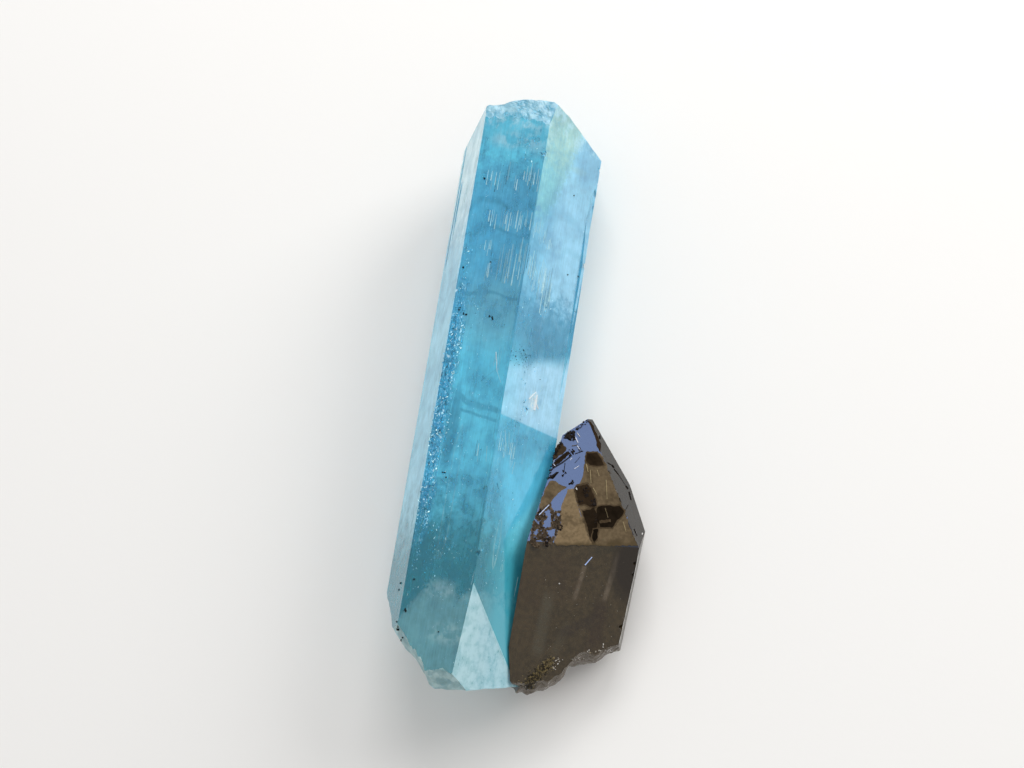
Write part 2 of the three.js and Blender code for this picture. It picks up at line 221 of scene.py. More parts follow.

# Plates on the quartz tip: outline in picture places, tone, level. The golden plates and the rims around the
# shaded plates are painted reflections from inside the quartz, and the shaded plates are painted shade
PLATE_LIFT = 0.025
PLATE_THICK = 0.03
PLATE_STEP = 2.2
PLATE_WANDER = 0.6
RIM_MARGIN = 1.7
RIM_TONE = 1.45
RIM_DROP = 0.5
TIP_COVERS = (
    (
        ((588, 453), (600.5, 453), (605.5, 463), (614, 485), (622.5, 507), (630.5, 529), (638, 545.5))
        + ((600, 546), (593, 545), (588, 536), (582, 518), (577, 503), (574, 489), (578, 486), (582, 478))
        + ((584, 465), (586, 458)),
        2.0,
        0,
    ),
    (
        ((568, 489), (574, 489), (577, 503), (582, 518), (588, 536), (593, 545), (557, 546))
        + ((554, 542), (557, 534), (561, 524), (560, 512), (564, 499)),
        3.0,
        0,
    ),
    (
        ((550, 481), (555, 481), (561, 485), (567, 487), (560, 492), (553, 499), (550, 504), (545, 507))
        + ((539, 511), (541, 500), (545, 489)),
        2.2,
        0,
    ),
    (
        ((557, 445), (561, 443), (566, 447), (566, 451), (561, 455), (553, 461), (551.5, 464), (553.5, 455)),
        1.2,
        0,
    ),
    (
        ((588, 420), (592, 424), (597, 434), (601, 446), (600.5, 453), (597, 447), (595, 436), (591, 427)),
        0.9,
        0,
    ),
    (((552, 464), (560, 457), (568, 451), (570, 454), (562, 461), (554, 467)), 0.5, 1),
    (((550, 478.5), (556, 472), (559, 472), (553, 479)), 0.1, 1),
)
SHADED_COVERS = (
    (((587, 453), (597, 453), (602, 461), (604, 465), (597, 466), (590, 465), (586, 461)), 0.6, 1),
    (
        ((577, 486), (587, 484), (591, 488), (594, 496), (596, 501), (595, 507), (590, 507), (584, 504))
        + ((579, 505), (577, 497), (575, 490)),
        0.7,
        1,
    ),
    (
        ((582, 511), (588, 510), (594, 508), (597, 515), (597, 528), (598, 531), (597, 538), (594, 544))
        + ((591, 540), (588, 530), (585, 520)),
        0.35,
        1,
    ),
    (
        ((597, 508), (601, 506), (619, 506), (624, 511), (622, 516), (616, 522), (612, 528))
        + ((600, 527), (597, 521)),
        0.2,
        1,
    ),
    (((593, 530), (598, 529), (597, 539), (594, 544), (592, 538)), 0.0, 2),
    (((601, 521), (609, 520), (609, 522), (601, 523)), 1.2, 2),
)

# Brown crust on the quartz tip, inside an outline and outside its holes, in picture places
CRUST_REGION = (
    ((550, 503), (552, 508), (554, 512), (560, 511), (561, 524), (556, 535), (551, 545), (547, 547))
    + ((535, 548), (530.5, 542), (531.5, 531), (534.5, 520), (539, 510), (546, 506))
)
CRUST_HOLES = (
    ((544, 512), (549, 508), (551, 511), (551, 521), (552, 527), (549, 528), (543, 527))
    + ((543, 522), (547, 518)),
    ((534, 531), (538, 528), (539, 532), (536, 536), (534, 536)),
    ((546, 531), (551, 529), (556, 529), (555, 535), (552, 538), (548, 535)),
    ((535, 541), (540, 539), (543, 541), (545, 546), (548, 542), (551, 543), (549, 549))
    + ((546, 550), (541, 547)),
    ((556, 515), (558, 513), (560, 515), (558, 517)),
)
CRUST_SEED = 41
CRUST_COUNT = 760
CRUST_SIZES = (0.10, 0.26)
CRUST_THICK = 0.05

# Black grains: outline in picture places, count, smallest and largest reach
BLACK_PATCHES = (
    (((563, 436.5), (567, 433), (571, 431), (575, 432), (574, 440), (569, 439), (564, 438)), 44, 0.16, 0.36),
    (((575, 429.5), (581, 423.5), (587, 420), (589, 422), (583, 426), (577, 431)), 34, 0.07, 0.18),
    (((551.5, 459), (556, 448), (562, 440), (564, 442), (558, 451), (554, 461)), 40, 0.08, 0.22),
    (((547, 479), (551, 466), (554, 464), (552, 474), (549, 481)), 24, 0.08, 0.20),
    (((569, 450), (573, 449), (575, 452), (572, 456), (569, 456)), 14, 0.10, 0.24),
    (((579, 446), (583, 447), (582, 452), (579, 452)), 10, 0.08, 0.2),
    (((563, 470), (566, 472), (566, 476), (562, 477)), 9, 0.10, 0.22),
    (((571, 480), (574, 481), (573, 485), (569, 484)), 10, 0.12, 0.25),
    (((583, 486), (589, 487), (589, 498), (584, 497)), 26, 0.08, 0.24),
    (((590, 499), (595, 499), (596, 505), (592, 508), (590, 503)), 16, 0.14, 0.30),
    (((578, 500), (583, 500), (583, 503), (578, 503)), 6, 0.1, 0.2),
    (((536.5, 517), (538, 513), (541, 509.5), (542, 510), (539, 516)), 14, 0.10, 0.22),
    (((543, 538), (549, 538), (549, 541), (548, 546), (545, 546), (545, 541)), 20, 0.10, 0.24),
    (((557, 526), (563, 525), (562, 530), (558, 530)), 12, 0.12, 0.26),
    (((593, 513), (597, 513), (597, 528), (594, 528)), 12, 0.08, 0.16),
)

# Specks at the edges of the aquamarine: column and row in the picture, reach
SPECKS_SEEN = (
    (398, 629, 0.26),
    (397.5, 626.5, 0.24),
    (405, 611, 0.20),
    (403, 638, 0.20),
    (401, 583, 0.20),
    (399, 590, 0.13),
    (397, 622, 0.12),
    (438, 632, 0.14),
    (414, 579, 0.14),
    (574, 196, 0.12),
    (485, 179, 0.20),
)

# Threads and needles: start and end in picture places, thickness, tone. The bright thread along the quartz at
# the lower right is a painted highlight; on the quartz the pale and blue needles are painted highlights and
# the gold needles painted reflections
AQUAMARINE_THREADS_AND_HIGHLIGHT = (
    ((547, 132), (568, 138), 0.035, 1.0),
    # A painted highlight along the quartz
    ((518, 577), (514, 597), 0.040, 1.0),
    ((466, 196), (470, 172), 0.045, 1.0),
    ((464, 203), (467, 188), 0.040, 0.8),
    ((496, 352), (497, 372), 0.060, 1.6),
    ((497, 371), (501, 383), 0.040, 0.7),
    ((505, 430), (506, 452), 0.050, 1.0),
    ((509, 432), (509, 448), 0.040, 0.8),
    ((487, 446), (486, 462), 0.035, 0.6),
    ((515, 462), (512, 474), 0.035, 0.8),
    ((529, 399), (536, 392), 0.11, 2.0),
    ((534, 410), (537, 395), 0.22, 2.0),
    ((538, 409), (534, 398), 0.14, 2.0),
    ((540, 392), (542, 385), 0.040, 0.9),
    ((471, 585), (475, 570), 0.045, 0.6),
    ((453, 307), (462, 308), 0.060, 0.0),
    ((458, 309), (466, 311), 0.050, 0.0),
    ((464, 311), (464, 317), 0.040, 0.0),
    ((489, 315), (493, 319), 0.050, 0.0),
    ((491, 321), (493, 318), 0.045, 0.0),
    ((471, 350), (520, 346), 0.022, 0.1),
    ((478, 383), (500, 366), 0.022, 0.1),
    ((440, 478), (446, 484), 0.060, 0.1),
    ((497, 483), (499, 490), 0.070, 0.1),
)
NEEDLES_AND_HIGHLIGHTS = (
    ((555.5, 461), (560, 457.5), 0.12, 0.0),
    ((560, 457.5), (567, 452), 0.09, 0.0),
    ((553, 468), (562, 463), 0.12, 0.0),
    ((562, 463), (571, 456), 0.11, 0.0),
    ((575, 454), (583, 451), 0.06, 0.0),
    ((549.5, 478), (557, 472.5), 0.14, 0.0),
    ((565, 463), (564, 472), 0.05, 0.0),
    ((575, 463), (580, 457), 0.04, 0.0),
    ((572, 446), (578, 445), 0.06, 0.3),
    ((577, 433), (580, 437), 0.05, 3.0),
    ((594, 431), (596, 433), 0.07, 3.0),
    ((574, 469), (579, 466), 0.05, 2.7),
    ((570, 460), (572, 458), 0.05, 2.8),
    ((553, 464), (556, 467), 0.07, 2.6),
    ((539, 515), (549, 505), 0.08, 2.4),
    ((575, 437), (578, 443), 0.10, 2.6),
    ((577, 446), (580, 450), 0.08, 2.5),
    ((586, 464), (588, 472), 0.08, 1.0),
    ((590, 470), (591, 483), 0.045, 1.0),
    ((606, 480), (607, 499), 0.045, 1.0),
    ((605, 508), (608, 518), 0.025, 0.8),
    ((597, 470), (599, 476), 0.045, 0.9),
    ((593, 488), (597, 495), 0.055, 1.0),
    ((623, 522), (626, 532), 0.05, 1.0),
    ((576, 488), (577, 490), 0.09, 3.0),
    ((602, 460), (608, 463), 0.03, 0.0),
    ((608, 463), (613, 466), 0.05, 0.0),
    ((612, 465), (614, 468), 0.11, 0.0),
    ((614, 469), (618, 474), 0.06, 0.0),
    ((618, 474), (626, 486), 0.03, 0.0),
    ((626, 486), (628, 489), 0.10, 0.0),
    ((629, 492), (631, 500), 0.08, 0.0),
    ((628, 505), (625, 511), 0.03, 0.0),
    ((634, 529), (637, 536), 0.05, 0.0),
    ((599.5, 436), (600, 439), 0.10, 0.0),
    ((600, 443), (600.5, 447), 0.08, 0.0),
    ((585, 565), (592, 557), 0.080, 2.0),
    ((642, 533), (637, 560), 0.070, 3.0),
    ((637, 560), (627, 606), 0.060, 3.0),
    ((627, 606), (619, 643), 0.055, 3.0),
    ((559, 583), (559.5, 584), 0.08, 3.0),
)
NEEDLE_LIFT = 0.05
GRAIN_LIFT = 0.03

# Stripes in the quartz body: start and end in picture places, half width, tint
BODY_STREAKS = (
    ((584, 568), (575, 597), 0.35, (0.24, 0.185, 0.13)),
    ((618, 557), (605, 598), 0.40, (0.24, 0.185, 0.13)),
    ((548, 600), (538, 648), 0.9, (0.120, 0.105, 0.070)),
    ((566, 628), (556, 650), 0.7, (0.105, 0.085, 0.050)),
    ((600, 610), (594, 640), 1.2, (0.058, 0.034, 0.020)),
    ((588, 622), (566, 632), 0.9, (0.050, 0.034, 0.022)),
    ((596, 550), (614, 549), 0.6, (0.050, 0.040, 0.020)),
)

# Dust and painted glints: start and end in picture places, spread, count, smallest and largest reach, tones.
# The lines of pale tones on the broken end are painted highlights
DUST_AND_GLINT_LINES = (
    ((525, 687), (551, 661), 2.8, 620, 0.07, 0.24, (0.0, 0.0, 0.0, 0.3, 0.6, 0.9)),
    ((553, 668), (560, 660), 1.8, 16, 0.05, 0.16, (1.4, 2.0)),
    ((571, 660), (602, 650), 1.0, 40, 0.05, 0.16, (1.1, 1.3, 1.6)),
    ((586, 650), (592, 653), 0.9, 8, 0.05, 0.12, (1.5, 2.0)),
    ((605, 650), (613, 651), 1.0, 10, 0.05, 0.12, (1.3, 2.0)),
    ((603, 644), (603.5, 648), 0.4, 3, 0.05, 0.10, (2.0,)),
)
DUST_CORNERS = ((538, 562), (632, 560), (614, 636), (530, 664))
DUST_SEED = 67
DUST_COUNT = 90
FINE_DUST = (0.018, 0.05)
FINE_DUST_TONES = (0.8, 1.8)

# Panel that the quartz tip mirrors
SKY_PANEL_PLACE = Vector((175.6, 242.8, 276.9))
SKY_PANEL_FACING = Vector((0.3845, 0.6316, 0.6733))
SKY_PANEL_EDGE = Vector((0.048, -0.743, 0.668))
SKY_PANEL_SIZE = (120.0 * MM, 160.0 * MM)
SKY_PANEL_COLOUR = (0.30, 0.46, 0.92)

# Colours of the aquamarine
UPPER_BLUE = (0.11, 0.50, 0.74, 1)
SKY_BLUE = (0.16, 0.76, 1.0, 1)
DEEP_TEAL = (0.035, 0.30, 0.37, 1)
BASE_GREEN = (0.15, 0.38, 0.43, 1)
PALE_BLUE = (0.46, 0.80, 1.0, 1)
ICE = (0.36, 0.80, 1.0, 1)
PALE_ICE = (0.62, 0.92, 1.0, 1)
LEFT_TEAL = (0.03, 0.30, 0.40, 1)
STAIN_GREEN = (0.44, 0.70, 0.62, 1)
STAIN_TEAL = (0.24, 0.60, 0.66, 1)
BREAK_GREEN = (0.40, 0.62, 0.60, 1)
BREAK_PALE = (0.64, 0.84, 0.82, 1)
VEIL_CREAM = (0.36, 0.56, 0.58, 1)
END_WHITE = (0.52, 0.82, 0.94, 1)
CHIP_WHITE = (0.54, 0.74, 0.80, 1)
CHIP_SHADE = (0.34, 0.56, 0.62, 1)
ETCH_BLUE = (0.15, 0.38, 0.52, 1)
ETCH_PALE = (0.34, 0.64, 0.76, 1)
SMUDGE_BLUE = (0.10, 0.36, 0.52, 1)
SHADE_BLUE = (0.04, 0.27, 0.40, 1)
UNDER_BLUE = (0.50, 0.88, 1.0, 1)
# Colour of the painted glints and highlights
GLINT = (0.80, 0.97, 1.0, 1)
CLOUD_TEAL = (0.24, 0.64, 0.74, 1)
ARCH_VEIL = (0.50, 0.72, 0.74, 1)
GLITTER_BLUE = (0.05, 0.45, 0.80, 1)
GLITTER_DARK = (0.015, 0.14, 0.22, 1)
CORNER_BLUE = (0.20, 0.46, 0.68, 1)
# Painted light and shade on the right face beside the quartz: the open stretch painted darker, the shaded
# stretch and the contact painted lighter
OPEN_BLUE = (0.09, 0.48, 0.70, 1)
OPEN_TEAL = (0.035, 0.26, 0.35, 1)
SHADED_BLUE = (0.22, 0.80, 1.0, 1)
CONTACT_BLUE = (0.27, 0.86, 1.0, 1)
SHADED_TEAL = (0.045, 0.31, 0.41, 1)
LOWER_BLUE = (0.08, 0.42, 0.64, 1)

# Veils of the aquamarine: middle, reach, share, tint
SMALL_VEILS = (
    ((-0.9, 35.9, 17.75), (2.8, 1.2, 1.5), 0.6, END_WHITE),
    ((2.6, 37.0, 17.75), (1.8, 2.6, 1.5), 0.45, END_WHITE),
    ((1.6, -31.8, 17.75), (2.6, 1.3, 1.5), 0.45, VEIL_CREAM),
    ((-0.6, -26.2, 17.75), (2.6, 1.3, 1.5), 0.4, VEIL_CREAM),
    ((7.0, -26.0, 12.4), (2.2, 1.1, 3.0), 0.35, VEIL_CREAM),
    ((7.6, 34.2, 11.3), (1.2, 0.5, 2.0), 0.5, STAIN_GREEN),
)
# Painted glint in the mirror patch of the right face: middle, reach
MIRROR_GLINT = ((6.7, 1.0, 12.9), (0.6, 1.2, 1.1))

# Zones of the aquamarine: fades from and to, spots with a reach, bands with a half width and softness
LOWER_SKY = (5.0, 13.0)
UPPER_SKY = (28.5, 36.0)
TEAL_FADE = (-9.0, -21.5)
GREEN_CLOUD = ((0.5, 11.5, 17.7), (6.0, 4.5, 4.0))
BASE_FADE = (-24.6, -27.4)
ARCH_BAND = (-26.0, 0.15, 0.7)
PALE_START = (11.0, 17.0)
SMUDGE = ((6.4, 9.6, 13.5), (5.0, 5.0, 8.0))
STAIN_START = (23.5, 28.0)
STAIN_FADE = (29.0, 39.0)
LEFT_TEAL_FADE = (-25.0, -12.0)
LEFT_PALE_FADE = (17.0, 28.0)
DARK_STRIP = ((-2.6, -5.0, 17.7), (0.9, 5.5, 3.0))
GLITTER_SIDE = (-3.0, -4.2)
GLITTER_TOP = (19.0, 8.0)
GLITTER_BOTTOM = (-24.0, -14.0)
DARK_CORNER = ((8.4, 35.9, 9.9), (2.2, 3.4, 3.8))
# Where the painted light and shade beside the quartz lie
BESIDE_START = (-4.0, -12.0)
BESIDE_SIDE = (4.2, 6.4)
SHADED_START = (-8.0, -12.0)
SHADED_SIDE = (5.8, 6.6)
CONTACT_SIDE = (7.6, 9.0)
DEEPER_FADE = (-14.0, -22.0)
LOWER_RIGHT_BAND = (-9.0, 4.0, 4.0)
END_HAZE = (37.6, 40.6)

# Finish of the aquamarine
FROSTED_ROUGHNESS = 0.45
STRIATION_STRENGTH = 0.07
STRIATION_DEPTH = 0.12 * MM

# Dark bands across the aquamarine: middle, half width, softness
PARTINGS = ((26.5, 0.12, 0.7), (22.4, 0.05, 0.5), (14.6, 0.05, 0.4))
SLANT_VEILS = ((-1.1, 0.2, 0.4), (-2.4, 0.05, 0.3))

# Looks of the quartz
SMOKE_HEART = ((22.4, -18.6, 7.4), (2.6, 4.8, 3.2))
GLOSSY_ROUGHNESS = 0.03
MATT_ROUGHNESS = 0.30
BREAK_ROUGHNESS = 0.08
SMOKE_CLEAR = (1.0, 0.97, 0.93, 1)
SMOKE_TINTED = (0.86, 0.76, 0.62, 1)
SMOKE_PALE = (0.100, 0.070, 0.033, 1)
SMOKE_BROWN = (0.062, 0.044, 0.020, 1)
SMOKE_RED = (0.050, 0.030, 0.016, 1)
SMOKE_DEEP = (0.016, 0.010, 0.005, 1)
OUTER_FACET = (0.020, 0.016, 0.012, 1)
TIP_DARK = (0.016, 0.020, 0.034, 1)
BREAK_BROWN = (0.21, 0.165, 0.115, 1)
CONTACT_BROWN = (0.05, 0.04, 0.028, 1)
BLACK = (0, 0, 0, 1)

# Colours of the grains, from the first tone to the last
# The first tube colour is painted shade, for the dark lines beside the bright tubes
TUBE_TONES = ((0.03, 0.28, 0.44), (0.68, 0.97, 1.0), (1.0, 1.0, 1.0))
FLAKE_TONES = ((0.01, 0.13, 0.22), (0.06, 0.52, 0.86), (0.62, 0.95, 1.0))
SPECK_TONES = ((0.006, 0.010, 0.012),)
# Colours of the painted reflection and shade plates on the quartz tip
GOLD_TONES = ((0.008, 0.006, 0.004), (0.034, 0.022, 0.013), (0.115, 0.085, 0.051), (0.180, 0.131, 0.076))
RUST_TONES = ((0.030, 0.021, 0.014), (0.13, 0.095, 0.062))
SOOT_TONES = ((0.004, 0.003, 0.003), (0.018, 0.012, 0.008))
# Needle colours: black, the gold of painted reflection, and the blue and pale of painted highlights
NEEDLE_AND_HIGHLIGHT_TONES = ((0.012, 0.010, 0.010), (0.34, 0.27, 0.15), (0.45, 0.58, 0.95), (0.72, 0.71, 0.70))
# The palest dust colour is the painted highlight of the glints on the break
DUST_AND_GLINT_TONES = ((0.014, 0.010, 0.005), (0.17, 0.13, 0.060), (0.85, 0.82, 0.80))

# Stage, in metres
FLOOR_RADIUS = 4.0
FLOOR_DROP = 0.1 * MM
PAPER_RELIEF = 0.2 * MM
KEY_PLACE = (0.02, 0.42, 0.34)
KEY_SIZE = (0.3, 0.2)
KEY_COLOUR = (1.0, 0.99, 0.97)
FILL_PLACE = (0.66, 0.60, 0.45)
FILL_SIZE = (0.5, 0.5)
FILL_COLOUR = (1.0, 0.98, 0.95)
SKY_FADE = (0.04, 0.30)
HORIZON_COLOUR = (0.95, 0.945, 0.94, 1)
ZENITH_COLOUR = (0.57, 0.567, 0.56, 1)


class AquamarineSettings(bpy.types.PropertyGroup):
    body_colour: bpy.props.FloatVectorProperty(
        name="Body colour",
        description="Colour that is left after light has crossed the crystal",
        subtype="COLOR",
        size=3,
        min=0.0,
        max=1.0,
        default=(0.02, 0.82, 0.96),
    )
    body_density: bpy.props.FloatProperty(
        name="Body density",
        description="How strongly the crystal absorbs, per metre",
        default=34.0,
        min=0.0,
    )
    refraction: bpy.props.FloatProperty(
        name="Refraction",
        description="Index of refraction of beryl",
        default=1.577,
        min=1.0,
    )
    ledge_softness: bpy.props.FloatProperty(
        name="Ledge softness",
        description="How far the shallow growth ledges are worn back into their faces",
        subtype="FACTOR",
        default=0.9,
        min=0.0,
        max=1.0,
    )
    border_wander: bpy.props.FloatProperty(
        name="Border wander",
        description="How far the edge of the rough ends wanders along the prism",
        unit="LENGTH",
        default=0.6 * MM,
        min=0.0,
    )
    end_relief: bpy.props.FloatProperty(
        name="End relief",
        description="Height of the fine roughness on the broken and etched ends",
        unit="LENGTH",
        default=0.12 * MM,
        min=0.0,
    )


class QuartzSettings(bpy.types.PropertyGroup):
    body_colour: bpy.props.FloatVectorProperty(
        name="Smoke colour",
        description="Colour that is left after light has crossed the quartz",
        subtype="COLOR",
        size=3,
        min=0.0,
        max=1.0,
        default=(0.45, 0.36, 0.12),
    )
    body_density: bpy.props.FloatProperty(
        name="Smoke density",
        description="How strongly the quartz absorbs, per metre",
        default=175.0,
        min=0.0,
    )
    refraction: bpy.props.FloatProperty(
        name="Refraction",
        description="Index of refraction of quartz",
        default=1.544,
        min=1.0,
    )
    ledge_softness: bpy.props.FloatProperty(
        name="Ledge softness",
        description="How far the shallow cross ledges are worn back into the main face",
        subtype="FACTOR",
        default=0.95,
        min=0.0,
        max=1.0,
    )
    break_relief: bpy.props.FloatProperty(
        name="Break relief",
        description="Height of the fine roughness on the broken end",
        unit="LENGTH",
        default=0.25 * MM,
        min=0.0,
    )


class StageSettings(bpy.types.PropertyGroup):
    floor_colour: bpy.props.FloatVectorProperty(
        name="Floor colour",
        description="Colour of the matt floor",
        subtype="COLOR",
        size=3,
        min=0.0,
        max=1.0,
        default=(0.86, 0.855, 0.85),
    )
    key_power: bpy.props.FloatProperty(
        name="Key power",
        description="Power of the soft light behind the finished end",
        unit="POWER",
        default=1.35,
        min=0.0,
    )
    fill_power: bpy.props.FloatProperty(
        name="Fill power",
        description="Power of the soft light on the quartz side",
        unit="POWER",
        default=5.6,
        min=0.0,
    )
    sky_power: bpy.props.FloatProperty(
        name="Sky panel power",
        description="Power of the cool panel that the quartz tip mirrors",
        unit="POWER",
        default=0.42,
        min=0.0,
    )


def add(tree, kind, values=None, **settings):
    """A node with its settings and inputs, where an input is a number or another node's output."""
    node = tree.nodes.new(kind)
    for key, value in settings.items():
        setattr(node, key, value)
    for key, value in (values or {}).items():
        if isinstance(value, bpy.types.NodeSocket):
            tree.links.new(value, node.inputs[key])
        else:
            node.inputs[key].default_value = value
    return node


def maths(tree, operation, first, second=0.0, third=0.0, clamp=False):
    values = {0: first, 1: second, 2: third}
    return add(tree, "ShaderNodeMath", values, operation=operation, use_clamp=clamp).outputs[0]


def ramp(tree, value, low, high, out_low=0.0, out_high=1.0):
    """A smooth step of value from low to high."""
    node = add(
        tree,
        "ShaderNodeMapRange",
        {0: value, 1: low, 2: high, 3: out_low, 4: out_high},
        interpolation_type="SMOOTHSTEP",
    )
    return node.outputs[0]


def blend_colour(tree, factor, first, second):
    node = add(tree, "ShaderNodeMix", {0: factor, 6: first, 7: second}, data_type="RGBA")
    return node.outputs[2]


def blend_value(tree, factor, first, second):
    node = add(tree, "ShaderNodeMix", {0: factor, 2: first, 3: second}, data_type="FLOAT")
    return node.outputs[0]


def new_material(name):
    material = bpy.data.materials.new(name)
    material.use_nodes = True
    material.node_tree.nodes.clear()
    return material, material.node_tree


def places(tree):
    """Object coordinates in millimetres."""
    coordinate = add(tree, "ShaderNodeTexCoord")
    return add(
        tree,
        "ShaderNodeVectorMath",
        {0: coordinate.outputs["Object"], 3: 1 / MM},
        operation="SCALE",
    ).outputs[0]


def along(tree, place, direction):
    """How far a place reaches along a direction."""
    return add(
        tree, "ShaderNodeVectorMath", {0: place, 1: tuple(direction)}, operation="DOT_PRODUCT"
    ).outputs["Value"]


def stretched_noise(tree, place, scale, detail=3.0, roughness=0.55):
    """Noise with its own scale on each axis, per millimetre."""
    mapped = add(tree, "ShaderNodeMapping", {"Vector": place, "Scale": scale})
    return add(
        tree,
        "ShaderNodeTexNoise",
        {"Vector": mapped.outputs[0], "Scale": 1.0, "Detail": detail, "Roughness": roughness},
    ).outputs[0]


def spot(tree, place, centre, reach, soft=0.35):
    """One inside an ellipsoid, fading to zero at its edge."""
    shift = add(
        tree, "ShaderNodeVectorMath", {0: place, 1: tuple(centre)}, operation="SUBTRACT"
    ).outputs[0]
    scaled = add(
        tree, "ShaderNodeVectorMath", {0: shift, 1: tuple(reach)}, operation="DIVIDE"
    ).outputs[0]
    length = add(
        tree, "ShaderNodeVectorMath", {0: scaled}, operation="LENGTH"
    ).outputs["Value"]
    return ramp(tree, length, 1.0 - soft, 1.0 + soft, 1.0, 0.0)


def band(tree, value, centre, half, soft):
    """One where a value lies near a centre, fading to zero on both sides."""
    off = maths(tree, "ABSOLUTE", maths(tree, "SUBTRACT", value, centre))
    return ramp(tree, off, half + soft, half)


def product(tree, *factors):
    result = factors[0]
    for factor in factors[1:]:
        result = maths(tree, "MULTIPLY", result, factor)
    return result


def highest(tree, *values):
    result = values[0]
    for value in values[1:]:
        result = maths(tree, "MAXIMUM", result, value)
    return result


def raised(tree, value, mask, share):
    """A value with a share of a mask added."""
    return maths(tree, "ADD", value, maths(tree, "MULTIPLY", mask, share))


def overlaid(tree, colour, *layers):
    """A colour with layers over it, each a mask, the mask's share and a tint."""
    for mask, share, tint in layers:
        colour = blend_colour(tree, maths(tree, "MULTIPLY", mask, share), colour, tint)
    return colour


def attribute(tree, name):
    return add(tree, "ShaderNodeAttribute", attribute_name=name).outputs["Fac"]


def clear_crystal(tree, settings, colour, roughness, veiled, bump):
    """The surface and the absorbing body of a clear crystal, with a share of the surface veiled."""
    surface = add(
        tree,
        "ShaderNodeBsdfPrincipled",
        {
            "Base Color": colour,
            "Roughness": roughness,
            "IOR": settings.refraction,
            "Transmission Weight": maths(tree, "SUBTRACT", 1.0, veiled, clamp=True),
            "Normal": bump.outputs[0],
        },
    )
    body = add(
        tree,
        "ShaderNodeVolumeAbsorption",
        {"Color": (*settings.body_colour, 1), "Density": settings.body_density},
    )
    add(tree, "ShaderNodeOutputMaterial", {"Surface": surface.outputs[0], "Volume": body.outputs[0]})


